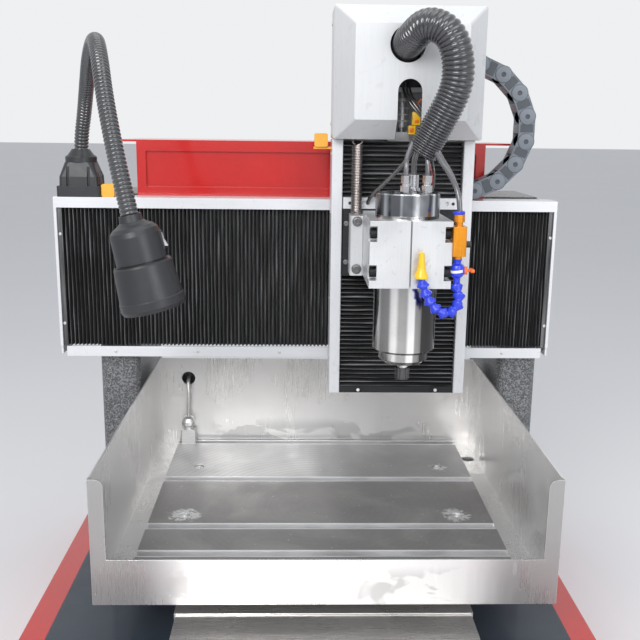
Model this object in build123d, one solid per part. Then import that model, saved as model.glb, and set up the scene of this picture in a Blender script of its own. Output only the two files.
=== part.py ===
from build123d import *
import math
import os

# A bench CNC engraving machine with a moving table and a fixed gantry.
# X runs to the right, Y to the back and Z up. The origin is on the floor,
# at the centre of the four floor bolts. All sizes are millimetres.

# Base, floor bolts and deck
base_centre = -17.0
base_width = 700.0
base_depth = 960.0
deck_top = 148.0
deck_sheet = 3.0
base_ring = 41.0
base_ledge_width = 10.0
base_panel_margin = 60.0
base_panel_low = 40.0
base_panel_top_gap = 30.0
base_panel_recess = 6.0
foot_plate = 12.0
foot_plate_side = 130.0
floor_bolt_inset = 80.0
floor_bolt_hole = 14.0
cross_beam_depth = 90.0
cross_beam_inset = 180.0

# Machine bed
bed_half_width = 190.0
bed_bottom = 60.0
rail_seat = 127.0
bed_channel_width = 90.0
bed_channel_floor = 96.0
bed_pocket_depth = 24.0
bed_pockets = 6
bed_rib = 24.0
bed_end_gap = 9.0

# Linear guides and ball screws
rail_side = 15.0
guide_height = 28.0
block_length = 58.0
block_width = 34.0
screw_radius = 8.0
nut_radius = 14.0
nut_flange_radius = 22.0
nut_flange_thick = 8.0
nut_length = 42.0
support_side = 44.0
support_thick = 22.0
motor_side = 56.0
running_gap = 0.5
seat_gap = 0.05
piece_gap = 0.3
screw_journal = 6.0
motor_shaft_reach = 12.0
motor_flange = 8.0
coupling_length = 28.0
coupling_radius = 13.0
y_support_inset = 30.0
y_coupling_room = 62.0
y_motor_length = 70.0
x_motor_length = 72.0
z_motor_length = 84.0
motor_clearance = 7.0
x_motor_gap = 3.0
z_motor_rise = 68.0

# Table, saddle and splash tray
table_top = 240.0
field_half_width = 231.0
field_front = -220.0
field_back = 262.0
field_height = 8.0
plate_front = -198.0
plate_half_width = 256.0
plate_thick = 22.0
slot_mouth = 13.0
slot_undercut = 20.0
slot_undercut_height = 8.0
slot_lip = 11.0
slot_places = (251.0, 96.0, -61.0, -136.0)
saddle_front = -40.0
saddle_back = 176.0
saddle_half_width = 200.0
saddle_flange = 20.0
saddle_lower_half = 150.0
table_screw_x = 185.0
table_screw_rows = (-28.0, 144.0)
table_screw_head = 13.0
table_screw_bore = 15.0
table_screw_radius = 4.0
table_screw_sink = 10.0
table_screw_reach = 12.0
nut_housing_half = 30.0
hexagon_socket = 3.4
tray_half_width = 260.0
tray_front = -240.0
tray_back = 266.0
tray_sheet = 2.0
tray_wall_top = 381.0
tray_front_top = 286.5
tray_flange = 17.0
tray_flange_round = 9.0
drain_x = 243.0
drain_y = 192.0
drain_hole = 20.0

# Contact block for tool setting, with its cable
setter_x = -213.5
setter_side = 24.0
setter_depth = 18.0
setter_back_gap = 1.0
setter_gland_radius = 11.5
setter_gland_height = 22.0
setter_cable_radius = 3.0
cable_hole_z = 347.0
cable_hole = 22.0

# Telescopic way cover
cover_half_width = 178.0
cover_top = 190.0
cover_sheet = 1.5
cover_gap = 0.3
cover_front_length = 149.0
cover_rear_length = 126.0
cover_sections = 4
cover_overhang = 4.0

# Gantry columns and beam
column_inner_x = 270.0
column_outer_x = 329.0
column_front = 138.0
column_back = 345.0
column_top = 440.0
column_foot = 20.0
column_foot_spread = 8.0
column_round = 14.0
column_foot_overlap = 8.0
column_pocket_depth = 14.0
column_pocket_inset = 35.0
beam_half_width = 330.0
beam_front = 200.0
beam_depth = 140.0
beam_pockets = 7
beam_rib = 22.0
beam_pocket_depth = 50.0
beam_top = 655.0
beam_channel_low = 510.0
beam_channel_high = 590.0
beam_channel_depth = 40.0
x_rail_low = 475.0
x_rail_high = 620.0
x_screw_y = 206.0
x_screw_z = 550.0
x_screw_room_left = 35.0
x_screw_room_right = 8.0
x_motor_side = 40.0

# Cover frame round the beam
frame_reach_left = 50.0
frame_reach_right = 8.0
frame_front = 118.0
frame_bottom = 423.0
frame_lip = 15.0
frame_shelf = 42.0
frame_sheet = 3.0
frame_end_post = 4.0

# Red box on the beam
red_left = -268.0
red_right = 239.0
red_front = 160.0
red_height = 77.0
red_border = 13.0
red_recess = 5.0
red_flange_left = -293.0
red_flange_right = 279.0
red_sheet = 3.0

# X carriage and Z column
column_frame_left = 11.0
column_frame_right = 203.0
z_frame_front = 58.0
z_frame_bottom = 387.0
z_frame_wall = 15.0
z_back_plate = 10.0
z_back_gap = 4.0
z_tongue_height = 18.0
z_cap_height = 9.0
carriage_overhang = 16.0
carriage_plate = 15.0
neck_inset = 9.0
neck_clearance = 8.0
z_rail_offset = 55.0
z_block_length = 50.0
z_block_gap = 2.0
z_screw_radius = 6.0
z_screw_journal = 4.0
z_nut_half = 16.0
z_nut_height = 40.0
z_support_height = 18.0
z_coupling_length = 34.0
z_coupling_radius = 10.0
z_motor_side = 44.0
z_motor_offset = 4.0
z_bracket_sheet = 6.0
z_bracket_reach = 24.0
z_screw_y = 92.0
z_plate_front = 54.0
z_plate_bottom = 556.0
z_plate_top = 663.0
z_plate_side_gap = 1.0
z_plate_strip = 15.0

# Head cover over the Z motor
head_left = 11.0
head_right = 207.0
upper_bellows_room = 77.0
head_height = 168.0
head_rim = 38.0
head_face = 12.0
head_back = 116.0
head_bevel = 26.0
head_sheet = 3.0
head_corner = 3.0
head_back_sheet = 1.7
hose_radius = 20.0
hose_wall = 2.0
head_hose_x = 103.0
head_hose_rise = 118.0
head_hose_hole = 45.0
head_slot_x = 107.5
head_slot_width = 31.0
head_slot_height = 76.0

# Spindle and clamp
spindle_x = 102.5
spindle_y = -37.0
spindle_radius = 40.0
spindle_bottom = 477.0
spindle_ring_bottom = 650.0
spindle_top = 677.0
nose_radius = 31.75
nose_bottom = 461.0
nose_chamfer = 5.0
shaft_radius = 12.0
shaft_bottom = 452.0
shaft_top = 520.0
collet_nut_radius = 9.5
collet_nut_bottom = 436.0
collet_bore = 6.0
collet_depth = 24.0
fitting_places = ((-5.0, -15.0), (23.0, -4.0))
connector_place = (8.0, 14.0)
water_tube_radius = 3.2
cable_radius = 3.8
coolant_tube_radius = 3.0
bolt_head_depth = 8.0
plate_bolt_head = 13.0
plate_bolt_depth = 3.0
clamp_half_width = 50.0
clamp_front = -85.0
clamp_bottom = 564.0
clamp_top = 646.0
clamp_split = 2.0
clamp_notch_width = 9.0
clamp_notch_height = 19.0
clamp_notch_depth = 22.0
clamp_bolt_head = 13.0
clamp_bolt_low = 583.0
clamp_bolt_high = 630.0
bracket_left = 35.0
bracket_drop = 4.0
bracket_front = 15.0
spring_x = 44.0
spring_y = 46.0
spring_radius = 7.5
spring_wire = 1.8
spring_hook_rise = 4.0

# Bellows
bellows_skin = 1.2
x_bellows_depth = 12.0
x_bellows_front = 122.0
x_pleat = 7.5
z_bellows_depth = 11.0
z_bellows_front = 61.0
z_pleat = 7.0

# Coolant block and ball-jointed hose
coolant_width = 16.4
coolant_depth = 20.0
coolant_bottom = 604.0
coolant_top = 640.0
coolant_front = -88.0
hose_plane = -94.6
valve_radius = 8.0
valve_height = 24.0
link_radius = 7.8
link_waist = 5.0
link_neck = 2.4
ball_radius = 4.2
ball_gap = 0.5
socket_lip = 1.2
nozzle_tip_radius = 3.0
nozzle_radius = 8.4
nozzle_length = 30.0

# Energy chain
chain_x = 200.0
chain_radius = 89.5
chain_front = 122.0
chain_width = 34.0
chain_height = 25.0
chain_pitch = 35.0
chain_wall = 3.0
chain_fixed_x = 45.0
chain_moving_x = 150.0

# Gooseneck lamp
shelf_sensor_place = 76.2
lamp_base_inset = 36.0
lamp_base_side = 61.0
lamp_base_depth = 54.0
lamp_slab_height = 15.0
lamp_body_height = 48.0
lamp_body_inset = 3.0
lamp_collar_radius = 22.0
lamp_collar_height = 9.0
lamp_cone_height = 9.0
lamp_rib_gap = 4.0
gooseneck_radius = 10.3
lamp_lean = 0.23
lamp_neck_end = 47.0
lamp_neck_radius = 28.5
lamp_shade_radius = 33.0
lamp_rim_radius = 36.8
lamp_rim_start = 88.0
lamp_head_end = 102.0
lamp_lens_depth = 9.0
switch_drop = 28.0
switch_pivot = 27.4
switch_half_length = 8.0
switch_half_width = 2.8
switch_pin = 0.8

# Places worked out from the sizes above
beam_back = beam_front + beam_depth
frame_left = -beam_half_width - frame_reach_left
frame_right = beam_half_width + frame_reach_right
x_screw_left = x_screw_room_left - beam_half_width
x_screw_right = beam_half_width - x_screw_room_right
lamp_base_x = frame_left + lamp_base_inset
column_axis_x = (column_frame_left + column_frame_right) / 2
z_screw_x = column_axis_x
z_back_front = frame_front - z_back_gap - z_back_plate
carriage_back = beam_front - guide_height
carriage_front = carriage_back - carriage_plate
tray_floor_bottom = table_top - field_height
tray_floor_top = tray_floor_bottom + tray_sheet
plate_bottom = tray_floor_bottom - plate_thick
base_ledge = base_ring - base_ledge_width
column_foot_y = (column_front - column_foot_overlap, column_back + column_foot_overlap)
base_left = base_centre - base_width / 2
base_right = base_centre + base_width / 2
floor_bolt_x = base_width - 2 * floor_bolt_inset
floor_bolt_y = base_depth - 2 * floor_bolt_inset
bed_half_depth = base_depth / 2 - base_ring - bed_end_gap
cross_beam_place = bed_half_depth - cross_beam_inset
y_motor_face = base_depth / 2 - base_ring - y_motor_length - motor_clearance
y_support_front = y_support_inset - bed_half_depth
y_support_rear = y_motor_face - y_coupling_room
head_bottom = z_plate_top + upper_bellows_room
head_hose_z = head_bottom + head_hose_rise
spring_top = head_bottom + spring_hook_rise
z_motor_face = head_bottom + z_motor_rise
head_top = head_bottom + head_height
red_top = beam_top + red_height
bracket_top = clamp_top - bracket_drop
guide_top = rail_seat + guide_height
y_screw_z = guide_top - 24.0
chain_z = beam_top + chain_height / 2 - 0.7 + chain_radius
cover_step = cover_sheet + cover_gap
cover_end = bed_half_depth + cover_overhang
clamp_left = spindle_x - clamp_half_width
clamp_right = spindle_x + clamp_half_width
table_bearing_x = 120.0
saddle_mid = (saddle_front + saddle_back) / 2
z_support_low = z_frame_bottom + z_cap_height + 2.0
z_support_high = head_bottom - 8.0
coolant_x = clamp_right + coolant_width / 2
coolant_y = coolant_front + coolant_depth / 2
valve_top = coolant_bottom - 4.0
valve_bottom = valve_top - valve_height
handle_x = coolant_x + valve_radius
handle_z = valve_bottom + 10.0
lamp_base_y = frame_front + lamp_base_depth / 2
lamp_collar_bottom = beam_top + lamp_body_height
lamp_cone_top = lamp_collar_bottom + lamp_collar_height + lamp_cone_height

# Middles of the coolant hose's balls, from the valve to the nozzle
link_points = (
    (coolant_x, coolant_y, 566.0),
    (coolant_x + 2.4, -84.6, 556.4),
    (161.6, -90.2, 546.4),
    (154.4, hose_plane, 537.6),
    (143.7, hose_plane, 535.4),
    (134.1, hose_plane, 540.4),
    (126.8, hose_plane, 548.8),
    (121.4, hose_plane, 558.5),
    (117.4, hose_plane, 569.0),
    (114.5, hose_plane, 579.8),
)

# Middle line of the corrugated hose, from the head cover to its open mouth
hose_mouth = (spindle_x + 16.0, spindle_y + 11.0, spindle_top + 47.0)
hose_route = (
    (head_hose_x, head_face + 12.0, head_hose_z),
    (head_hose_x, head_face - 20.0, head_hose_z + 4.0),
    (120.0, -36.0, head_hose_z + 22.0),
    (149.0, -50.0, head_hose_z + 6.0),
    (160.0, -46.0, head_hose_z - 40.0),
    (147.0, -36.0, hose_mouth[2] + 52.0),
    hose_mouth,
)

# Middle line of the gooseneck, from its base to the lamp head
gooseneck_route = (
    (lamp_base_x, lamp_base_y, lamp_collar_bottom - 14.0),
    (lamp_base_x + 1.5, 144.0, 735.0),
    (lamp_base_x + 9.0, 137.0, 768.0),
    (lamp_base_x + 21.0, 108.0, 806.0),
    (lamp_base_x + 40.0, 50.0, 842.0),
    (lamp_base_x + 65.0, -22.0, 859.0),
    (lamp_base_x + 80.0, -72.0, 832.0),
    (lamp_base_x + 90.0, -102.0, 790.0),
    (lamp_base_x + 101.5, -126.0, 745.0),
    (lamp_base_x + 113.0, -144.0, 700.0),
    (lamp_base_x + 126.0, -158.0, 652.0),
)


def block(x, y, z):
    """Rectangular block from its low and high sides."""
    size = (x[1] - x[0], y[1] - y[0], z[1] - z[0])
    centre = ((x[0] + x[1]) / 2, (y[0] + y[1]) / 2, (z[0] + z[1]) / 2)
    return Pos(*centre) * Box(*size)


def rod_x(radius, x, y, z):
    """Round bar along X."""
    bar = Rot(0, 90, 0) * Cylinder(radius, x[1] - x[0])
    return Pos((x[0] + x[1]) / 2, y, z) * bar


def rod_y(radius, x, y, z):
    """Round bar along Y."""
    bar = Rot(90, 0, 0) * Cylinder(radius, y[1] - y[0])
    return Pos(x, (y[0] + y[1]) / 2, z) * bar


def rod_z(radius, x, y, z):
    """Round bar along Z."""
    return Pos(x, y, (z[0] + z[1]) / 2) * Cylinder(radius, z[1] - z[0])


def mirrored(shape):
    """The same piece on the other side of the machine."""
    return mirror(shape, about=Plane.YZ)


def group(pieces):
    """Separate pieces of one kind that share a node."""
    return Compound(children=[piece.solid() for piece in pieces])


def rail_profile():
    """Cross-section of a guide rail, standing on the origin with its top up."""
    half = rail_side / 2
    waist = half - 2.2
    outline = Polyline(
        (-half, 0),
        (half, 0),
        (half, rail_side * 0.3),
        (waist, rail_side * 0.45),
        (waist, rail_side * 0.65),
        (half, rail_side * 0.8),
        (half, rail_side),
        (-half, rail_side),
        (-half, rail_side * 0.8),
        (-waist, rail_side * 0.65),
        (-waist, rail_side * 0.45),
        (-half, rail_side * 0.3),
        close=True,
    )
    return make_face(outline)


def guide_rail(origin, along, outward, length):
    """One guide rail of the given length, from origin, seated on its base."""
    plane = Plane(origin=origin, x_dir=Vector(*outward).cross(Vector(*along)), z_dir=along)
    return extrude(plane * rail_profile(), amount=length)


def bearing_block(centre, along, outward, length=block_length):
    """Guide block that rides on a rail; centre lies on the rail's seat."""
    half = block_width / 2
    slot = rail_side / 2 + running_gap
    low = 4.5
    high = rail_side + running_gap
    outline = Polyline(
        (-half, low),
        (-slot, low),
        (-slot, high),
        (slot, high),
        (slot, low),
        (half, low),
        (half, guide_height),
        (-half, guide_height),
        close=True,
    )
    start = Vector(*centre) - Vector(*along) * (length / 2)
    plane = Plane(origin=start, x_dir=Vector(*outward).cross(Vector(*along)), z_dir=along)
    return extrude(plane * make_face(outline), amount=length)


def servo_motor(face, axis, side, length, shaft_hole):
    """Square motor with a round register; face is the centre of its flange."""
    plane = Plane(origin=face, z_dir=axis)
    flange = extrude(plane * RectangleRounded(side, side, side * 0.08), amount=motor_flange)
    body = extrude(plane * RectangleRounded(side * 0.92, side * 0.92, side * 0.1), amount=length)
    motor = flange + body
    return motor - extrude(plane * Circle(shaft_hole), amount=20.0)


# Base


def base_frame():
    half_y = base_depth / 2
    frame = block((base_left, base_right), (-half_y, half_y), (0, deck_top))
    inner_x = (base_left + base_ring, base_right - base_ring)
    inner_y = half_y - base_ring
    frame -= block(inner_x, (-inner_y, inner_y), (-1, deck_top + 1))
    rebate = block(
        (base_left + base_ledge, base_right - base_ledge),
        (-half_y + base_ledge, half_y - base_ledge),
        (deck_top - deck_sheet, deck_top + 1),
    )
    frame -= rebate
    panel_z = (base_panel_low, deck_top - base_panel_top_gap)
    margin = base_panel_margin
    for side, face_x in ((-1, base_left), (1, base_right)):
        cut_x = sorted((face_x, face_x - side * base_panel_recess))
        frame -= block(cut_x, (-half_y + margin, -margin / 4), panel_z)
        frame -= block(cut_x, (margin / 4, half_y - margin), panel_z)
        face_y = side * half_y
        cut_y = sorted((face_y, face_y - side * base_panel_recess))
        frame -= block((base_left + margin, base_right - margin), cut_y, panel_z)
        plate_x = sorted((face_x, face_x - side * foot_plate_side))
        for side_y in (-1, 1):
            plate_y = sorted((side_y * half_y, side_y * (half_y - foot_plate_side)))
            frame += block(plate_x, plate_y, (0, foot_plate))
        seat_x = sorted((side * (column_inner_x - column_foot_spread), face_x))
        frame += block(seat_x, column_foot_y, (foot_plate, deck_top))
    for centre in (-cross_beam_place, cross_beam_place):
        beam_y = (centre - cross_beam_depth / 2, centre + cross_beam_depth / 2)
        frame += block(inner_x, beam_y, (foot_plate, bed_bottom))
    for x in (-floor_bolt_x / 2, floor_bolt_x / 2):
        for y in (-floor_bolt_y / 2, floor_bolt_y / 2):
            frame -= rod_z(floor_bolt_hole / 2, x, y, (-1, foot_plate + 1))
    return frame


def deck_plates():
    reach_y = base_depth / 2 - base_ledge
    sheet_z = (deck_top - deck_sheet, deck_top)
    inner = cover_half_width + 4.0
    plates = []
    for side, edge in ((1, base_right - base_ledge), (-1, base_left + base_ledge)):
        plate = block(sorted((side * inner, edge)), (-reach_y, reach_y), sheet_z)
        notch_x = sorted((side * (column_inner_x - column_foot_spread), edge + side))
        plate -= block(notch_x, column_foot_y, (0, deck_top + 1))
        plates.append(plate)
    return group(plates)


def machine_bed():
    half_y = bed_half_depth
    ledge_inner = cover_half_width + 2.0
    bed = block((-bed_half_width, bed_half_width), (-half_y, half_y), (bed_bottom, deck_top - deck_sheet))
    bed -= block((-ledge_inner, ledge_inner), (-half_y - 1, half_y + 1), (rail_seat, deck_top))
    bed -= block((-bed_channel_width / 2, bed_channel_width / 2), (-half_y - 1, half_y + 1),
                 (bed_channel_floor, deck_top))
    pitch = 2 * half_y / bed_pockets
    for index in range(bed_pockets):
        start = -half_y + index * pitch + bed_rib / 2
        pocket_y = (start, start + pitch - bed_rib)
        for side in (-1, 1):
            pocket_x = sorted((side * (bed_channel_width / 2 + bed_rib), side * (bed_half_width - bed_rib)))
            bed -= block(pocket_x, pocket_y, (bed_bottom - 1, bed_bottom + bed_pocket_depth))
    for place, reach, seat in (
        (y_support_front, support_thick, support_side / 2),
        (y_support_rear, support_thick, support_side / 2),
        (y_motor_face, y_motor_length - 10.0, motor_side / 2),
    ):
        bed += block((-bed_channel_width / 2, bed_channel_width / 2), (place, place + reach),
                     (bed_channel_floor, y_screw_z - seat))
    return bed


def linear_rails():
    length = 2 * bed_half_depth - 40.0
    rails = []
    for side in (-1, 1):
        origin = (side * table_bearing_x, -length / 2, rail_seat)
        rails.append(guide_rail(origin, (0, 1, 0), (0, 0, 1), length))
    for height in (x_rail_low, x_rail_high):
        origin = (-beam_half_width + 10.0, beam_front, height)
        rails.append(guide_rail(origin, (1, 0, 0), (0, -1, 0), 2 * beam_half_width - 20.0))
    return group(rails)


def support_block(centre, axis):
    """Bearing block for a screw end, bored for the screw."""
    plane = Plane(origin=centre, z_dir=axis)
    housing = extrude(plane * RectangleRounded(support_side, support_side, 4.0), amount=support_thick)
    return housing - extrude(plane * Circle(screw_journal + seat_gap), amount=support_thick)


def screw_supports():
    pieces = []
    for place in (y_support_front, y_support_rear):
        pieces.append(support_block((0, place, y_screw_z), (0, 1, 0)))
    for place in (x_screw_left, x_screw_right - support_thick):
        pieces.append(support_block((place, x_screw_y, x_screw_z), (1, 0, 0)))
    return group(pieces)


def ball_screw(length, end_front, end_back):
    """Screw along Z from the origin, stepped down at both ends."""
    journal = screw_journal
    screw = rod_z(journal, 0, 0, (0, length))
    screw += rod_z(screw_radius, 0, 0, (end_front, length - end_back))
    return screw


def coupling_on(length, start, radius):
    """Shaft coupling in the Z direction from a start height."""
    body = rod_z(radius, 0, 0, (start, start + length))
    for fraction in (0.25, 0.5, 0.75):
        slit = rod_z(radius + 1, 0, 0, (start + length * fraction - 0.8, start + length * fraction + 0.8))
        body -= slit - rod_z(radius - 3.0, 0, 0, (start, start + length))
    return body


def y_screw():
    end = support_thick + 1.0
    length = y_motor_face - y_support_front + motor_shaft_reach
    span = y_support_rear - y_support_front
    screw = ball_screw(length, end, length - span + 1.0)
    screw += coupling_on(coupling_length, span + support_thick + 4.0, coupling_radius)
    return Pos(0, y_support_front, y_screw_z) * Rot(-90, 0, 0) * screw


def x_screw():
    end = support_thick + 1.0
    stub = x_motor_gap + motor_shaft_reach
    length = x_screw_right - x_screw_left + stub
    screw = ball_screw(length, stub + end, end)
    return Pos(x_screw_left - stub, x_screw_y, x_screw_z) * Rot(0, 90, 0) * screw


def axis_motors():
    y_motor = servo_motor((0, y_motor_face, y_screw_z), (0, 1, 0), motor_side, y_motor_length, screw_radius)
    face = (x_screw_left - x_motor_gap, x_screw_y, x_screw_z)
    x_motor = servo_motor(face, (-1, 0, 0), x_motor_side, x_motor_length, screw_radius - 1.5)
    return group([y_motor, x_motor])


# Table


def table_plate():
    plate = block((-plate_half_width, plate_half_width), (plate_front, tray_back),
                  (plate_bottom, tray_floor_bottom))
    plate += block((-field_half_width, field_half_width), (field_front, field_back),
                   (tray_floor_bottom, table_top))
    for place in slot_places:
        plate -= block((-plate_half_width - 1, plate_half_width + 1),
                       (place - slot_mouth / 2, place + slot_mouth / 2),
                       (table_top - slot_lip - slot_undercut_height, table_top + 1))
        plate -= block((-plate_half_width - 1, plate_half_width + 1),
                       (place - slot_undercut / 2, place + slot_undercut / 2),
                       (table_top - slot_lip - slot_undercut_height, table_top - slot_lip))
    for row in table_screw_rows:
        for side in (-1, 1):
            x = side * table_screw_x
            plate -= rod_z(table_screw_bore / 2, x, row, (table_top - table_screw_sink, table_top + 1))
            plate -= rod_z(table_screw_radius + running_gap, x, row, (plate_bottom - 1, table_top))
    plate -= rod_z(drain_hole / 2, drain_x, drain_y, (plate_bottom - 1, tray_floor_bottom + 1))
    return plate


def table_screws():
    pieces = []
    for row in table_screw_rows:
        for side in (-1, 1):
            x = side * table_screw_x
            seat = table_top - table_screw_sink
            head = rod_z(table_screw_head / 2, x, row, (seat, table_top - 1.5))
            head -= Pos(x, row, table_top - 4.0) * extrude(RegularPolygon(hexagon_socket, 6), amount=4.0)
            pieces.append(head + rod_z(table_screw_radius, x, row, (plate_bottom - table_screw_reach, seat)))
    return group(pieces)


def tray():
    outer = tray_half_width
    inner = outer - tray_sheet
    y_in = (tray_front + tray_sheet, tray_back - tray_sheet)
    shell = block((-outer, outer), (tray_front, tray_back), (tray_floor_bottom, tray_wall_top))
    shell -= block((-inner, inner), y_in, (tray_floor_top, tray_wall_top + 1))
    shell -= block((-field_half_width - 0.5, field_half_width + 0.5),
                   (field_front - 0.5, field_back + 0.5), (0, tray_floor_top + 1))
    window_half = outer - tray_flange
    window = block((-window_half, window_half), (tray_front - 1, tray_front + tray_sheet + 0.5),
                   (tray_front_top, tray_wall_top + 1))
    shell -= window
    for side in (-1, 1):
        corner = side * (window_half + tray_flange_round)
        square_x = sorted((side * window_half, corner))
        square = block(square_x, (tray_front - 1, tray_front + tray_sheet + 0.5),
                       (tray_wall_top - tray_flange_round, tray_wall_top + 1))
        round_end = rod_y(tray_flange_round, corner, (tray_front - 2, tray_front + tray_sheet + 1),
                          tray_wall_top - tray_flange_round)
        shell -= square - round_end
    shell -= rod_y(cable_hole / 2, setter_x, (tray_back - tray_sheet - 1, tray_back + 1), cable_hole_z)
    shell -= rod_z(drain_hole / 2, drain_x, drain_y, (tray_floor_bottom - 1, tray_floor_top + 1))
    return shell


def saddle():
    body = block((-saddle_lower_half, saddle_lower_half), (saddle_front, saddle_back),
                 (guide_top, plate_bottom))
    body += block((-saddle_half_width, saddle_half_width), (saddle_front, saddle_back),
                  (plate_bottom - saddle_flange, plate_bottom))
    body += block((-nut_housing_half, nut_housing_half),
                  (saddle_mid - nut_length / 2, saddle_mid + nut_length / 2 - 10.0),
                  (y_screw_z - nut_radius - 4.0, guide_top))
    body -= rod_y(nut_radius + seat_gap, 0, (saddle_front, saddle_back), y_screw_z)
    for row in table_screw_rows:
        for side in (-1, 1):
            body -= rod_z(table_screw_radius + seat_gap, side * table_screw_x, row,
                          (plate_bottom - table_screw_reach - 2.0, plate_bottom + 1))
    edges = body.edges().filter_by(Axis.Z).group_by(Axis.Y)[0]
    return fillet(edges, 4.0)


def ball_nut():
    """Flanged nut along Z; its flange starts at the origin."""
    nut = rod_z(nut_flange_radius, 0, 0, (0, nut_flange_thick)) + rod_z(nut_radius, 0, 0, (0, nut_length))
    return nut - rod_z(screw_radius + running_gap, 0, 0, (-1, nut_length + 1))


def y_bearings():
    pieces = []
    for side in (-1, 1):
        for end in (saddle_front + block_length / 2 + 6.0, saddle_back - block_length / 2 - 6.0):
            centre = (side * table_bearing_x, end, rail_seat)
            pieces.append(bearing_block(centre, (0, 1, 0), (0, 0, 1)))
    nut = Pos(0, saddle_mid + nut_length / 2 - 2.0, y_screw_z) * Rot(90, 0, 0) * ball_nut()
    pieces.append(nut)
    return group(pieces)


def tool_setter():
    back = field_back - setter_back_gap
    front = back - setter_depth
    half = setter_side / 2
    body = block((setter_x - half, setter_x + half), (front, back),
                 (table_top, table_top + setter_side))
    body = chamfer(body.edges().filter_by(Axis.Z), 1.2)
    base = table_top + setter_side
    middle = front + setter_depth / 2
    profile = Polyline(
        (setter_cable_radius + seat_gap, 0),
        (setter_gland_radius * 0.62, 0),
        (setter_gland_radius * 0.62, 4.0),
        (setter_gland_radius, 7.5),
        (setter_gland_radius, 13.0),
        (setter_gland_radius * 0.75, 18.5),
        (setter_gland_radius * 0.42, setter_gland_height),
        (setter_cable_radius + seat_gap, setter_gland_height),
        close=True,
    )
    gland = revolve(Plane.XZ * make_face(profile), Axis.Z)
    gland = Pos(setter_x, middle, base) * gland
    lip = tray_back + 3.0
    boot = rod_y(cable_hole / 2 + 6.0, setter_x, (tray_back, lip), cable_hole_z)
    boot += rod_y(cable_hole / 2 + 2.0, setter_x, (lip, lip + 16.0), cable_hole_z)
    boot -= rod_y(cable_hole / 2 - 0.5, setter_x, (tray_back - 1, lip + 12.0), cable_hole_z)
    boot -= rod_y(setter_cable_radius + seat_gap, setter_x, (lip + 11.0, lip + 17.0), cable_hole_z)
    return group([body, gland, boot])


def tube_along(points, radius, wall=None):
    """Round bar, or tube where it has a wall, along straight runs joined by tangent arcs."""
    path = FilletPolyline(*points, radius=bend_radii(points))
    plane = Plane(origin=path @ 0, z_dir=path % 0)
    section = Circle(radius)
    if wall:
        section -= Circle(radius - wall)
    return sweep(plane * section, path=path)


def bend_radii(points):
    """Each bend is as large as its two runs allow."""
    places = [Vector(*point) for point in points]
    radii = []
    for before, corner, after in zip(places, places[1:], places[2:]):
        turn = math.radians((corner - before).get_angle(after - corner))
        shorter = min((corner - before).length, (after - corner).length)
        radii.append(0.45 * shorter / math.tan(turn / 2))
    return radii


def setter_cable():
    middle = field_back - setter_back_gap - setter_depth / 2
    start_z = table_top + setter_side + 2.0
    points = [
        (setter_x, middle, start_z),
        (setter_x, middle, start_z + 26.0),
        (setter_x + 1.0, middle + 1.0, cable_hole_z - 26.0),
        (setter_x, middle + 6.0, cable_hole_z - 4.0),
        (setter_x, tray_back + 2.0, cable_hole_z),
        (setter_x, tray_back + 17.0, cable_hole_z),
    ]
    return tube_along(points, setter_cable_radius)


# Telescopic way cover


def cover_section(level, span, end=None):
    """Folded sheet section; higher levels are smaller and lie lower. end closes one end."""
    half = cover_half_width - level * cover_step
    top = cover_top - level * cover_step
    skirt_bottom = deck_top + 1.5 if end is None else rail_seat
    shell = block((-half, half), span, (skirt_bottom, top))
    inner = half - cover_sheet
    shell -= block((-inner, inner), (span[0] - 1, span[1] + 1), (skirt_bottom - 1, top - cover_sheet))
    if end is not None:
        wall = sorted((span[end], span[end] + (cover_sheet if end == 0 else -cover_sheet)))
        shell += block((-half, half), wall, (skirt_bottom, top))
    return shell


def cover_spans(attached, fixed, length):
    """Where the sections stand, spread evenly from the table to the fixed end."""
    direction = 1 if fixed > attached else -1
    spans = []
    gap = (abs(fixed - attached) - length) / (cover_sections - 1)
    for level in range(cover_sections):
        near = attached + direction * level * gap
        spans.append(tuple(sorted((near, near + direction * length))))
    return spans


def front_section(level, end=None):
    spans = cover_spans(saddle_front, -cover_end, cover_front_length)
    return cover_section(level, spans[level], end)


def rear_section(level, end=None):
    spans = cover_spans(saddle_back, cover_end, cover_rear_length)
    return cover_section(level, spans[level], end)


def way_cover_upper():
    return group([front_section(0), rear_section(0)])


def way_cover_front_2():
    return front_section(1)


def way_cover_front_3():
    return front_section(2)


def way_cover_rear_2():
    return rear_section(1)


def way_cover_rear_3():
    return rear_section(2)


def way_cover_fixed():
    return group([front_section(3, 0), rear_section(3, 1)])


# Gantry


def column_right():
    inner = column_inner_x
    outer = column_outer_x
    body = block((inner, outer), (column_front, column_back), (deck_top, column_top))
    upright = body.edges().filter_by(Axis.Z).group_by(Axis.Y)[0]
    body = fillet(upright, column_round)
    foot = block((inner - column_foot_spread, outer + column_foot_spread),
                 column_foot_y, (deck_top, deck_top + column_foot))
    foot = fillet(foot.edges().filter_by(Axis.Z), 8.0)
    body += foot
    pocket = block((outer - column_pocket_depth, outer + 1),
                   (column_front + column_pocket_inset, column_back - column_pocket_inset),
                   (deck_top + 60.0, column_top - 40.0))
    pocket = fillet(pocket.edges().filter_by(Axis.X), 18.0)
    return body - pocket


def column_left():
    return mirrored(column_right())


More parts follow.
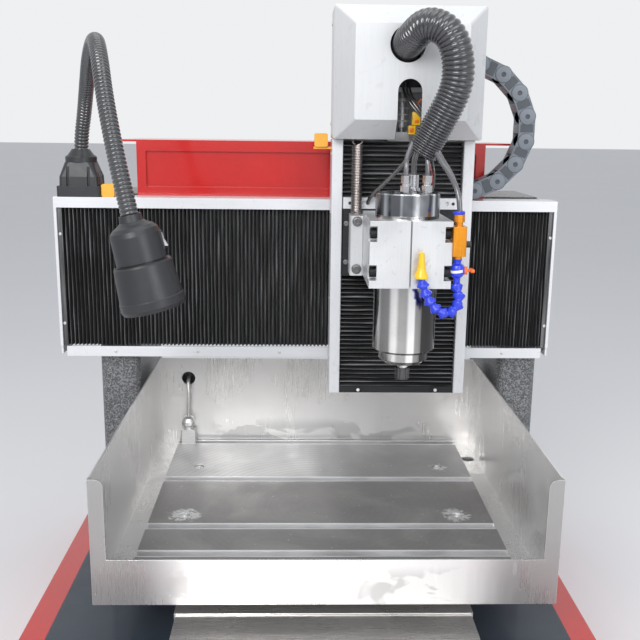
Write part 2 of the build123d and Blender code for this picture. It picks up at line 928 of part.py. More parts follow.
def gantry_beam():
    half = beam_half_width
    beam = block((-half, half), (beam_front, beam_back), (column_top, beam_top))
    beam -= block((-half - 1, half + 1), (beam_front - 1, beam_front + beam_channel_depth),
                  (beam_channel_low, beam_channel_high))
    pitch = 2 * half / beam_pockets
    for index in range(beam_pockets):
        start = -half + index * pitch + beam_rib / 2
        pocket = block((start, start + pitch - beam_rib), (beam_back - beam_pocket_depth, beam_back + 1),
                       (column_top + beam_rib, beam_top - beam_rib))
        beam -= fillet(pocket.edges().filter_by(Axis.Y), 12.0)
    channel_back = beam_front + beam_channel_depth
    for place in (x_screw_left, x_screw_right - support_thick):
        beam += block((place, place + support_thick),
                      (x_screw_y + support_side / 2, channel_back),
                      (x_screw_z - support_side / 2, x_screw_z + support_side / 2))
    beam += block((-half, x_screw_left - x_motor_gap - 1.0), (x_screw_y + x_motor_side / 2, channel_back),
                  (x_screw_z - x_motor_side / 2, x_screw_z + x_motor_side / 2))
    return beam


def beam_top_box():
    box = block((red_left, red_right), (red_front, beam_back), (beam_top, red_top))
    inner = block((red_left + red_sheet, red_right - red_sheet),
                  (red_front + red_recess + red_sheet, beam_back - red_sheet),
                  (beam_top + red_sheet, red_top - red_sheet))
    box -= inner
    panel = block((red_left + red_border, red_right - red_border),
                  (red_front - 1, red_front + red_recess),
                  (beam_top + red_border, red_top - red_border))
    box -= fillet(panel.edges().filter_by(Axis.Y), 2.0)
    flange = block((red_flange_left, red_flange_right), (red_front, beam_back),
                   (red_top, red_top + red_sheet))
    return box + flange


def cover_frame():
    left = frame_left
    right = frame_right
    front = frame_front
    shelf = (front, front + frame_shelf)
    top = block((left, right), shelf, (beam_top - frame_sheet, beam_top))
    top += block((left, right), (front, front + frame_sheet), (beam_top - frame_lip, beam_top))
    low = frame_bottom
    bottom_right = right - 10.0
    bottom_left = left + 9.0
    ledge = (front, column_front - piece_gap)
    bottom = block((bottom_left, bottom_right), ledge, (low, low + frame_sheet))
    bottom += block((bottom_left, bottom_right), (front, front + frame_sheet), (low, low + frame_lip))
    corner = bottom.edges().filter_by(Axis.Y).group_by(Axis.X)[-1].sort_by(Axis.Z)[0]
    bottom = fillet(corner, frame_sheet - 0.2)
    post_z = (low + frame_lip, beam_top - frame_lip)
    posts = []
    for side, x in ((1, left), (-1, right)):
        face = sorted((x, x + side * frame_end_post))
        post = block(face, (front, front + frame_sheet), post_z)
        plate_x = sorted((x, x + side * frame_sheet))
        wall = block(plate_x, (front + frame_sheet, beam_front + 60.0),
                     (low + frame_sheet + piece_gap, beam_top - frame_sheet))
        reach = sorted((x, side * -1 * beam_half_width))
        tie = block(reach, (beam_front + 30.0, beam_front + 60.0), (column_top + 30.0, beam_top - 40.0))
        posts.append(post + wall + tie)
    return group([top, bottom] + posts)


# X carriage and Z column


def carriage_casting():
    x = (column_frame_left - carriage_overhang, column_frame_right + carriage_overhang)
    body = block(x, (carriage_front, carriage_back), (x_rail_low - 25.0, x_rail_high + 25.0))
    neck = block((column_frame_left + neck_inset, column_frame_right - neck_inset),
                 (z_back_front + z_back_plate, carriage_front),
                 (frame_bottom + frame_lip + neck_clearance, beam_top - frame_lip - neck_clearance))
    body += neck
    nut_bracket = block((column_axis_x - 30.0, column_axis_x + 8.0), (carriage_back, x_screw_y + 20.0),
                        (x_screw_z - 24.0, x_screw_z + 24.0))
    body += nut_bracket
    body -= rod_x(nut_radius + seat_gap, (column_axis_x - 40.0, column_axis_x + 40.0), x_screw_y, x_screw_z)
    hollow = block((column_frame_left + 34.0, column_frame_right - 34.0),
                   (z_back_front + z_back_plate - 1, carriage_front - 14.0),
                   (frame_bottom + 45.0, beam_top - 45.0))
    return body - fillet(hollow.edges().filter_by(Axis.Y), 10.0)


def x_bearings():
    pieces = []
    reach = block_length / 2 + 4.0
    for height in (x_rail_low, x_rail_high):
        for x in (column_frame_left + reach, column_frame_right - reach):
            pieces.append(bearing_block((x, beam_front, height), (1, 0, 0), (0, -1, 0)))
    nut = Pos(column_axis_x + 16.0, x_screw_y, x_screw_z) * Rot(0, -90, 0) * ball_nut()
    pieces.append(nut)
    return group(pieces)


def z_column():
    x = (column_frame_left, column_frame_right)
    back = (z_back_front, z_back_front + z_back_plate)
    body = block(x, back, (z_frame_bottom, head_bottom - piece_gap))
    tongue = head_sheet + 1.0
    tongue_z = (head_bottom - piece_gap, head_bottom + z_tongue_height)
    body += block((x[0] + tongue, x[1] - tongue), back, tongue_z)
    for side, edge in ((1, x[0]), (-1, x[1])):
        wall_x = sorted((edge, edge + side * z_frame_wall))
        wall = block(wall_x, (z_frame_front, back[0]), (z_frame_bottom, head_bottom - piece_gap))
        front_edges = wall.edges().filter_by(Axis.Z).group_by(Axis.Y)[0]
        body += fillet(front_edges, 1.5)
    sheet = z_bracket_sheet
    bracket_x = (z_screw_x - motor_side / 2 - sheet, z_screw_x + motor_side / 2 + sheet)
    bracket_y = (z_screw_y - z_bracket_reach, back[1])
    for edge in (bracket_x[0], bracket_x[1] - sheet):
        body += block((edge, edge + sheet), bracket_y, (head_bottom + z_tongue_height, z_motor_face))
    body += block(bracket_x, bracket_y, (z_motor_face - sheet, z_motor_face))
    body -= rod_z(z_coupling_radius + 5.0, z_screw_x, z_screw_y, (z_motor_face - sheet - 1, z_motor_face + 1))
    return body


def z_bottom_cap():
    x = (column_frame_left + z_frame_wall, column_frame_right - z_frame_wall)
    z = (z_frame_bottom, z_frame_bottom + z_cap_height)
    cap = block(x, (z_frame_front + 2.0, z_back_front), z)
    for place in (x[0] + 28.0, x[1] - 28.0):
        cap += rod_y(3.5, place, (z_frame_front - 0.5, z_frame_front + 2.0), z[0] + z_cap_height / 2)
    return cap


def z_guides():
    pieces = []
    for side in (-1, 1):
        origin = (column_axis_x + side * z_rail_offset, z_back_front, z_support_low)
        length = head_bottom - 2.0 - z_support_low
        pieces.append(guide_rail(origin, (0, 0, 1), (0, -1, 0), length))
    for place in (z_support_low, z_support_high):
        x = (z_screw_x - 20.0, z_screw_x + 20.0)
        top = place + z_support_height
        support = block(x, (z_screw_y - 13.0, z_back_front), (place, top))
        pieces.append(support - rod_z(z_screw_journal + seat_gap, z_screw_x, z_screw_y, (place - 1, top + 1)))
    return group(pieces)


def z_screw():
    thread_bottom = z_support_low + z_support_height + 1.0
    screw = rod_z(z_screw_journal, z_screw_x, z_screw_y, (z_support_low, z_motor_face + motor_shaft_reach))
    screw += rod_z(z_screw_radius, z_screw_x, z_screw_y, (thread_bottom, z_support_high - 1.0))
    coupling_start = z_support_high + z_support_height + 6.0
    coupling = coupling_on(z_coupling_length, coupling_start, z_coupling_radius)
    return screw + Pos(z_screw_x, z_screw_y, 0) * coupling


def z_motor():
    face = (z_screw_x, z_screw_y - z_motor_offset, z_motor_face)
    shaft_hole = z_screw_journal + z_motor_offset + 1.0
    return servo_motor(face, (0, 0, 1), z_motor_side, z_motor_length, shaft_hole)


def head_shell(shrink, shift):
    """Bevelled front of the head cover, shrunk and set back by the wall for its inside."""
    width = head_right - head_left
    middle = Pos((head_left + head_right) / 2, (head_bottom + head_top) / 2)
    rim = RectangleRounded(width - 2 * shrink, head_height - 2 * shrink, head_corner)
    face = RectangleRounded(
        width - 2 * head_bevel - shrink,
        head_height - 2 * head_bevel + 2.0 - shrink,
        head_corner,
    )
    back = Plane.XZ.offset(-head_rim - shift) * middle * rim
    front = Plane.XZ.offset(-head_face - shift) * middle * face
    return loft([back, front])


def head_cover():
    body = block((head_left, head_right), (head_rim, head_back), (head_bottom, head_top))
    body = fillet(body.edges().filter_by(Axis.Y), head_corner)
    body += head_shell(0, 0)
    body -= block((head_left + head_sheet, head_right - head_sheet),
                  (head_rim - 0.01, head_back - head_back_sheet),
                  (head_bottom - 1, head_top - head_sheet))
    body -= head_shell(head_sheet, head_sheet)
    slot_half = head_slot_width / 2
    slot_round_z = head_bottom + head_slot_height - slot_half
    slot_y = (0, head_rim + 4.0)
    body -= block((head_slot_x - slot_half, head_slot_x + slot_half), slot_y, (head_bottom - 1, slot_round_z))
    body -= rod_y(slot_half, head_slot_x, slot_y, slot_round_z)
    body -= rod_y(head_hose_hole / 2, head_hose_x, (0, head_rim), head_hose_z)
    return group([body, chain_bracket()])


def limit_sensor(x, y, z, body_length):
    """Small boxed position switch with a rounded sensing end."""
    body = block((x - 9.0, x + 9.0), (y, y + body_length), (z, z + 18.0))
    body = fillet(body.edges().filter_by(Axis.Y), 2.5)
    return body


def shelf_sensor():
    return limit_sensor(frame_left + shelf_sensor_place, frame_front + 6.0, beam_top, 28.0)


def carriage_sensor():
    bracket_z = (head_bottom - 14.0, head_bottom - 11.0)
    plate_y = (z_back_front - 18.0, z_back_front)
    plate = block((column_frame_left - 24.0, column_frame_left), plate_y, bracket_z)
    sensor = limit_sensor(column_frame_left - 14.0, z_back_front - 22.0, bracket_z[1], 28.0)
    return group([plate, sensor])


# Bellows


def pleats(length, pitch, depth):
    """Outline of a pleated skin that runs along X, folded between 0 and depth."""
    folds = round(length / pitch)
    step = length / folds
    front = []
    back = []
    for index in range(folds):
        x = index * step
        front += [(x, depth - bellows_skin), (x + step / 2, 0)]
        back += [(x, depth), (x + step / 2, bellows_skin * 1.6)]
    front.append((length, depth - bellows_skin))
    back.append((length, depth))
    return make_face(Polyline(*(front + back[::-1]), close=True))


def x_bellows_piece(span):
    low = frame_bottom + frame_lip + piece_gap
    high = beam_top - frame_lip - piece_gap
    outline = pleats(span[1] - span[0], x_pleat, x_bellows_depth)
    skin = extrude(outline, amount=high - low)
    return Pos(span[0], x_bellows_front, low) * skin


def x_bellows():
    left = (frame_left + frame_sheet + piece_gap, column_frame_left + neck_inset - piece_gap)
    right = (column_frame_right - neck_inset + piece_gap, frame_right - frame_sheet - piece_gap)
    return group([x_bellows_piece(left), x_bellows_piece(right)])


def z_bellows_piece(span):
    inner = (column_frame_left + z_frame_wall + 0.5, column_frame_right - z_frame_wall - 0.5)
    outline = pleats(span[1] - span[0], z_pleat, z_bellows_depth)
    skin = extrude(Plane.XY * outline, amount=inner[1] - inner[0])
    skin = Rot(0, -90, 0) * skin
    return Pos(inner[1], z_bellows_front, span[0]) * skin


def z_bellows():
    low = (z_frame_bottom + z_cap_height + piece_gap, z_plate_bottom - piece_gap)
    high = (z_plate_top + piece_gap, head_bottom - 2.0)
    return group([z_bellows_piece(low), z_bellows_piece(high)])


# Z slide, spindle and clamp


def z_plate():
    x = (column_frame_left + z_frame_wall + z_plate_side_gap,
         column_frame_right - z_frame_wall - z_plate_side_gap)
    back = z_back_front - guide_height
    plate = block(x, (z_plate_front, back), (z_plate_bottom, z_plate_top - z_plate_strip))
    plate = chamfer(plate.edges().filter_by(Axis.Z).group_by(Axis.Y)[0], 1.0)
    strip = block(x, (z_plate_front, back), (z_plate_top - z_plate_strip + seat_gap, z_plate_top))
    hole_z = z_plate_top - z_plate_strip / 2
    for hole_x in (x[0] + 14.0, x[0] + 28.0, x[1] - 20.0):
        strip -= rod_y(3.0, hole_x, (z_plate_front - 1, z_plate_front + 3.0), hole_z)
    return group([plate, strip])


def z_bearings():
    pieces = []
    middle = (z_plate_bottom + z_plate_top) / 2
    reach = (z_block_length + z_block_gap) / 2
    for side in (-1, 1):
        for height in (middle - reach, middle + reach):
            centre = (column_axis_x + side * z_rail_offset, z_back_front, height)
            pieces.append(bearing_block(centre, (0, 0, 1), (0, -1, 0), z_block_length))
    nut_x = (z_screw_x - z_nut_half, z_screw_x + z_nut_half)
    nut_z = (middle - z_nut_height / 2, middle + z_nut_height / 2)
    nut = block(nut_x, (z_back_front - guide_height, z_screw_y + 11.0), nut_z)
    nut -= rod_z(z_screw_radius + running_gap, z_screw_x, z_screw_y, (nut_z[0] - 1, nut_z[1] + 1))
    pieces.append(nut)
    return group(pieces)


def spindle_clamp():
    body = block((clamp_left, clamp_right), (clamp_front, z_plate_front), (clamp_bottom, clamp_top))
    body -= rod_z(spindle_radius + seat_gap, spindle_x, spindle_y, (clamp_bottom - 1, clamp_top + 1))
    body -= block((spindle_x - clamp_split / 2, spindle_x + clamp_split / 2),
                  (clamp_front - 1, spindle_y), (clamp_bottom - 1, clamp_top + 1))
    for height in (clamp_bolt_low, clamp_bolt_high):
        for side, edge in ((1, clamp_left), (-1, clamp_right)):
            notch_x = sorted((edge - side, edge + side * clamp_notch_width))
            body -= block(notch_x, (clamp_front - 1, clamp_front + clamp_notch_depth),
                          (height - clamp_notch_height / 2, height + clamp_notch_height / 2))
    return group([body, spring_bracket()])


def clamp_bolts():
    pieces = []
    axis_y = clamp_front + clamp_notch_depth / 2
    for height in (clamp_bolt_low, clamp_bolt_high):
        for side, edge in ((1, clamp_left), (-1, clamp_right)):
            seat = edge + side * clamp_notch_width
            tip = seat - side * bolt_head_depth
            head = rod_x(clamp_bolt_head / 2, sorted((tip, seat)), axis_y, height)
            socket = Plane(origin=(tip, axis_y, height), z_dir=(side, 0, 0))
            pieces.append(head - extrude(socket * RegularPolygon(hexagon_socket, 6), amount=4.0))
    middle_x = (bracket_left + clamp_left) / 2
    tip = bracket_front - plate_bolt_depth
    for height in (clamp_bottom + 8.0, bracket_top - 7.0):
        head = rod_y(plate_bolt_head / 2, middle_x, (tip, bracket_front), height)
        socket = Plane(origin=(middle_x, tip, height), z_dir=(0, 1, 0))
        pieces.append(head - extrude(socket * RegularPolygon(hexagon_socket, 6), amount=2.5))
    return group(pieces)


def spring_bracket():
    body = block((bracket_left, clamp_left), (bracket_front, z_plate_front),
                 (clamp_bottom - 1.0, bracket_top))
    return chamfer(body.edges().filter_by(Axis.Z).group_by(Axis.Y)[0], 1.5)


def balance_spring():
    low = bracket_top + piece_gap
    coil_z = (low + 1.0, spring_top - 12.0)
    coil = rod_z(spring_radius, spring_x, spring_y, coil_z)
    coil -= rod_z(spring_radius - spring_wire, spring_x, spring_y, (low, spring_top))
    hook_x = spring_x + spring_radius - spring_wire / 2
    for start, end in ((low, low + 2.0), (coil_z[1] - 1.0, spring_top)):
        coil += rod_z(spring_wire / 2, hook_x, spring_y, (start, end))
    return coil


def spindle_body():
    body = rod_z(spindle_radius, spindle_x, spindle_y, (spindle_bottom, spindle_ring_bottom))
    body = chamfer(body.faces().sort_by(Axis.Z)[0].edges(), 3.0)
    nose = rod_z(nose_radius, spindle_x, spindle_y, (nose_bottom, spindle_bottom))
    nose = chamfer(nose.faces().sort_by(Axis.Z)[0].edges(), nose_chamfer)
    body += nose
    bore = rod_z(shaft_radius + seat_gap, spindle_x, spindle_y, (nose_bottom - 1, shaft_top + 0.5))
    body -= bore
    ring = rod_z(spindle_radius, spindle_x, spindle_y, (spindle_ring_bottom + seat_gap, spindle_top))
    ring = chamfer(ring.faces().sort_by(Axis.Z)[-1].edges(), 1.5)
    recess = rod_z(spindle_radius - 6.0, spindle_x, spindle_y, (spindle_top - 3.0, spindle_top + 1))
    return group([body, ring - recess])


def spindle_shaft():
    shaft = rod_z(shaft_radius, spindle_x, spindle_y, (nose_bottom - 4.0, shaft_top))
    shaft += rod_z(7.0, spindle_x, spindle_y, (collet_nut_bottom + 1.0, nose_bottom - 4.0))
    return shaft - rod_z(collet_bore / 2, spindle_x, spindle_y,
                         (collet_nut_bottom, collet_nut_bottom + 1.0 + collet_depth))


def collet_nut():
    nut = rod_z(collet_nut_radius, spindle_x, spindle_y, (collet_nut_bottom, shaft_bottom))
    nut = chamfer(nut.faces().sort_by(Axis.Z)[0].edges(), 1.5)
    for index in range(6):
        angle = math.radians(60 * index)
        x = spindle_x + (collet_nut_radius + 0.6) * math.cos(angle)
        y = spindle_y + (collet_nut_radius + 0.6) * math.sin(angle)
        nut -= rod_z(1.8, x, y, (collet_nut_bottom + 3.0, shaft_bottom + 1))
    return nut - rod_z(7.05, spindle_x, spindle_y, (collet_nut_bottom - 1, shaft_bottom + 1))


def spindle_fittings():
    pieces = []
    floor = spindle_top - 3.0
    for dx, dy in fitting_places:
        x = spindle_x + dx
        y = spindle_y + dy
        hexagon = Pos(x, y, floor) * extrude(RegularPolygon(6.5, 6), amount=12.0)
        neck = rod_z(4.6, x, y, (floor, floor + 22.0))
        nut = Pos(x, y, floor + 15.0) * extrude(RegularPolygon(5.8, 6), amount=9.0)
        pieces.append(hexagon + neck + nut)
    x = spindle_x + connector_place[0]
    y = spindle_y + connector_place[1]
    plug = rod_z(9.0, x, y, (floor, floor + 8.0)) + rod_z(7.0, x, y, (floor, floor + 24.0))
    pieces.append(plug)
    return group(pieces)


def spindle_tubes():
    """Two water tubes, the spindle cable and the coolant tube, into the hose mouth."""
    pieces = []
    floor = spindle_top + 21.05
    places = [(place, water_tube_radius) for place in fitting_places]
    places.append((connector_place, cable_radius))
    for (dx, dy), radius in places:
        x = spindle_x + dx
        y = spindle_y + dy
        target = (hose_mouth[0] + dx * 0.25 - 4.0, hose_mouth[1] + dy * 0.3, hose_mouth[2] + 5.0)
        points = [(x, y, floor), (x, y, floor + 11.0), target]
        pieces.append(tube_along(points, radius))
    points = [
        (coolant_x, coolant_y, coolant_top + 14.0),
        (coolant_x, coolant_y, coolant_top + 32.0),
        (coolant_x - 14.0, coolant_y + 14.0, coolant_top + 57.0),
        (hose_mouth[0] + 5.0, hose_mouth[1] - 10.0, hose_mouth[2] - 12.0),
        (hose_mouth[0] - 1.0, hose_mouth[1] - 4.0, hose_mouth[2] + 4.0),
    ]
    pieces.append(tube_along(points, coolant_tube_radius))
    return group(pieces)


# Coolant block and ball-jointed hose


def coolant_block():
    x = (clamp_right, clamp_right + coolant_width)
    y = (coolant_front, coolant_front + coolant_depth)
    body = block(x, y, (coolant_bottom, coolant_top))
    body = chamfer(body.edges().filter_by(Axis.Z), 1.0)
    body += rod_z(5.0, coolant_x, coolant_y, (valve_top, coolant_bottom))
    body += rod_z(4.5, coolant_x, coolant_y, (coolant_top, coolant_top + 5.0))
    collar = rod_z(6.5, coolant_x, coolant_y, (coolant_top + 5.0, coolant_top + 14.0))
    knob = rod_x(4.0, (x[1], x[1] + 7.0), coolant_y, coolant_bottom + 14.0)
    knob = chamfer(knob.faces().sort_by(Axis.X)[-1].edges(), 0.8)
    return group([body, collar, knob])


def socket_outline(outer):
    """Half section of a socket's inside, from its middle out to its lip."""
    cavity = ball_radius + ball_gap
    return [
        (0, cavity + piece_gap),
        (cavity * 0.75, cavity * 0.8),
        (cavity, cavity * 0.35),
        (cavity, -socket_lip),
        (outer, -socket_lip),
        (outer, socket_lip),
    ]


def hose_link(start, end):
    """One link of the ball-jointed hose: a socket round its start and a ball at its end."""
    base = Vector(*start)
    reach = Vector(*end) - base
    length = reach.length
    shoulder = length - link_radius - 0.6
    profile = Polyline(
        *socket_outline(link_radius),
        (link_waist, shoulder),
        (link_neck, shoulder + 0.8),
        (link_neck, length - ball_radius * 0.8),
        (ball_radius, length - 1.5),
        (ball_radius, length + 1.0),
        (link_neck, length + ball_radius * 0.7),
        (0, length + ball_radius * 0.7),
        close=True,
    )
    link = revolve(Plane.XZ * make_face(profile), Axis.Z)
    return Plane(origin=base, z_dir=reach) * link


def links_between(first, last):
    return [hose_link(link_points[index], link_points[index + 1]) for index in range(first, last)]


def hose_base():
    """Valve body under the coolant block, with the first links."""
    valve = rod_z(valve_radius, coolant_x, coolant_y, (valve_bottom, valve_top))
    valve = chamfer(valve.edges(), 1.0)
    stub = rod_z(link_neck, coolant_x, coolant_y, (link_points[0][2], valve_bottom + 1.0))
    stub += Pos(coolant_x, coolant_y, link_points[0][2]) * Sphere(ball_radius)
    return group([valve + stub] + links_between(0, 2))


def hose_middle():
    return group(links_between(2, 6))


def hose_end():
    return group(links_between(6, 9))


def coolant_nozzle():
    base = link_points[-1]
    profile = Polyline(
        *socket_outline(nozzle_radius),
        (nozzle_tip_radius + 1.6, 11.0),
        (nozzle_tip_radius, nozzle_length),
        (nozzle_tip_radius - 1.2, nozzle_length),
        (nozzle_tip_radius - 0.4, 11.0),
        (0, 9.0),
        close=True,
    )
    nozzle = revolve(Plane.XZ * make_face(profile), Axis.Z)
    return Pos(*base) * nozzle


def valve_handle():
    disc = rod_x(5.0, (handle_x + piece_gap, handle_x + 4.0), coolant_y, handle_z)
    stem = rod_x(2.0, (handle_x + 4.0, handle_x + 9.0), coolant_y, handle_z)
    bar = block((handle_x + 8.0, handle_x + 12.0), (coolant_y - 8.0, coolant_y + 8.0),
                (handle_z - 2.0, handle_z + 2.0))
    bar = fillet(bar.edges().filter_by(Axis.X), 1.8)
    return disc + stem + bar


# Corrugated hose from the head cover to the spindle


def corrugated_hose():
    return tube_along(hose_route, hose_radius, hose_wall)


# Energy chain


def chain_frame(distance):
    """Place and direction at a distance along the chain's middle line."""
    lower = chain_x - chain_fixed_x
    arc = math.pi * chain_radius
    if distance < lower:
        return chain_fixed_x + distance, chain_z - chain_radius, 0.0
    if distance < lower + arc:
        angle = (distance - lower) / chain_radius
        x = chain_x + chain_radius * math.sin(angle)
        z = chain_z - chain_radius * math.cos(angle)
        return x, z, math.degrees(angle)
    return chain_x - (distance - lower - arc), chain_z + chain_radius, 180.0


def chain_link(start, end, narrow):
    """Link between two pivots: two side plates joined by two cross bars."""
    dx = end[0] - start[0]
    dz = end[1] - start[1]
    length = math.hypot(dx, dz)
    slope = math.degrees(math.atan2(dz, dx))
    inset = chain_wall + piece_gap if narrow else 0.0
    outline = SlotCenterToCenter(length, chain_height - 2.0)
    side = extrude(Plane.XZ * outline, amount=chain_wall)
    near = Pos(0, chain_front + inset + chain_wall, 0) * side
    far = Pos(0, chain_front + chain_width - inset, 0) * side
    link = near + far
    bar_y = (chain_front + inset + 0.5, chain_front + chain_width - inset - 0.5)
    half = chain_height / 2 - 1.0
    for low, high in ((-half, -half + 2.0), (half - 2.0, half)):
        link += block((-5.0, 5.0), bar_y, (low, high))
    middle = ((start[0] + end[0]) / 2, 0, (start[1] + end[1]) / 2)
    return Pos(*middle) * Rot(0, -slope, 0) * link


def drag_chain():
    total = chain_x - chain_fixed_x + math.pi * chain_radius + chain_x - chain_moving_x
    count = round(total / chain_pitch)
    pitch = total / count
    pivots = [chain_frame(index * pitch)[:2] for index in range(count + 1)]
    links = []
    for index, (start, end) in enumerate(zip(pivots, pivots[1:])):
        links.append(chain_link(start, end, index % 2 == 1))
    return group(links)


def chain_bracket():
    """Angle on the head cover that carries the chain's moving end."""
    z = chain_z + chain_radius
    end = chain_moving_x - chain_height / 2 - piece_gap
    return block((end - 26.0, end), (head_back, chain_front + chain_width), (z - 10.0, z + 10.0))


# Gooseneck lamp


def lamp_base():
    half = lamp_base_side / 2
    slab_top = beam_top + lamp_slab_height
    slab = block((lamp_base_x - half, lamp_base_x + half), (frame_front, frame_front + lamp_base_depth),
                 (beam_top, slab_top))
    slab = fillet(slab.edges().filter_by(Axis.Z), 4.0)
    low = Plane.XY.offset(slab_top) * Pos(lamp_base_x, lamp_base_y) * RectangleRounded(
        lamp_base_side - 2 * lamp_body_inset, lamp_base_depth - 2 * lamp_body_inset, 5.0)
    waist = Plane.XY.offset(slab_top + 13.0) * Pos(lamp_base_x, lamp_base_y) * RectangleRounded(
        lamp_base_side - 2 * lamp_body_inset - 1.0, lamp_base_depth - 2 * lamp_body_inset - 1.0, 5.0)
    high = Plane.XY.offset(lamp_collar_bottom) * Pos(lamp_base_x, lamp_base_y) * RectangleRounded(
        2 * lamp_collar_radius - 4.0, 2 * lamp_collar_radius - 4.0, 8.0)
    foot = slab + loft([low, waist], ruled=True) + loft([waist, high], ruled=True)
    for side in (-1, 1):
        rib_x = lamp_base_x + side * (half - 16.0)
        groove_x = (rib_x - lamp_rib_gap / 2, rib_x + lamp_rib_gap / 2)
        foot -= block(groove_x, (frame_front - 1, frame_front + lamp_body_inset + 3.0),
                      (slab_top, lamp_collar_bottom - 6.0))
        rib_y = lamp_base_y + side * (lamp_base_depth / 2 - 15.0)
        groove_y = (rib_y - lamp_rib_gap / 2, rib_y + lamp_rib_gap / 2)
        for edge, turn in ((lamp_base_x - half, 1), (lamp_base_x + half, -1)):
            cut = sorted((edge - turn, edge + turn * (lamp_body_inset + 3.0)))
            foot -= block(cut, groove_y, (slab_top, lamp_collar_bottom - 6.0))
    collar_top = lamp_collar_bottom + lamp_collar_height
    collar = rod_z(lamp_collar_radius, lamp_base_x, lamp_base_y, (lamp_collar_bottom, collar_top))
    foot += chamfer(collar.edges().group_by(Axis.Z)[-1], 2.0)
    foot += Pos(lamp_base_x, lamp_base_y, (collar_top + lamp_cone_top) / 2) * Cone(
        lamp_collar_radius - 3.0, gooseneck_radius + 2.0, lamp_cone_height)
    return foot - tube_along(gooseneck_route, gooseneck_radius + seat_gap)


def lamp_gooseneck():
    return tube_along(gooseneck_route, gooseneck_radius)


def lamp_axis_plane():
    """Frame on the lamp head's axis, which hangs steeper than the gooseneck's last run."""
    return Plane(origin=gooseneck_route[-1], x_dir=(1.0, 0, lamp_lean), z_dir=(lamp_lean, 0, -1.0))


def lamp_head():
    inner = lamp_rim_radius - 3.0
    profile = Polyline(
        (0, -6.0),
        (gooseneck_radius + 2.0, -6.0),
        (gooseneck_radius + 3.0, 1.5),
        (gooseneck_radius + 7.0, 4.5),
        (lamp_neck_radius - 5.5, 7.5),
        (lamp_neck_radius - 2.0, 11.5),
        (lamp_neck_radius - 0.8, 17.0),
        (lamp_neck_radius, lamp_neck_end - 0.5),
        (lamp_neck_radius - 1.5, lamp_neck_end),
        (lamp_neck_radius - 1.5, lamp_neck_end + 1.5),
        (lamp_shade_radius - 1.0, lamp_neck_end + 1.5),
        (lamp_shade_radius, lamp_neck_end + 3.5),
        (lamp_rim_radius - 0.8, lamp_rim_start),
        (lamp_rim_radius, lamp_rim_start + 1.0),
        (lamp_rim_radius, lamp_head_end - 4.5),
        (lamp_rim_radius - 1.8, lamp_head_end),
        (inner, lamp_head_end),
        (inner, lamp_head_end - lamp_lens_depth),
        (0, lamp_head_end - lamp_lens_depth),
        close=True,
    )
    head = revolve(Plane.XZ * make_face(profile), Axis.Z)
    plane = lamp_axis_plane()
    reach = (lamp_neck_radius - 4.0, lamp_neck_radius + 1.2)
    pocket_half = switch_half_length + 1.0
    bezel = block(reach, (-switch_half_width - 2.0, switch_half_width + 2.0),
                  (switch_drop - pocket_half - 1.6, switch_drop + pocket_half + 1.6))
    head += bezel
    head -= block((switch_pivot - 5.4, lamp_neck_radius + 3.0),
                  (-switch_half_width - 0.4, switch_half_width + 0.4),
                  (switch_drop - pocket_half, switch_drop + pocket_half))
    head += rod_y(switch_pin, switch_pivot, (-switch_half_width - 1.0, switch_half_width + 1.0), switch_drop)
    placed = plane * head
    placed -= tube_along(gooseneck_route, gooseneck_radius + seat_gap)
    return group([placed, lamp_lens()])


def lamp_lens():
    start = lamp_head_end - lamp_lens_depth
    lens = rod_z(lamp_rim_radius - 3.1, 0, 0, (start, start + 4.0))
    return lamp_axis_plane() * lens


def lamp_switch():
    """Rocker on the side of the lamp head's upper part, with its lower end out."""
    half = switch_half_length
    outline = Polyline(
        (switch_pivot - 2.2, switch_drop - half + 1.6),
        (switch_pivot + 2.2, switch_drop - half),
        (switch_pivot + 2.8, switch_drop),
        (switch_pivot + 5.6, switch_drop + half),
        (switch_pivot - 2.2, switch_drop + half - 1.6),
        close=True,
    )
    rocker = extrude(Plane.XZ * make_face(outline), amount=switch_half_width, both=True)
    rocker -= rod_y(switch_pin + 0.15, switch_pivot, (-switch_half_width - 1.0, switch_half_width + 1.0),
                    switch_drop)
    return lamp_axis_plane() * rocker


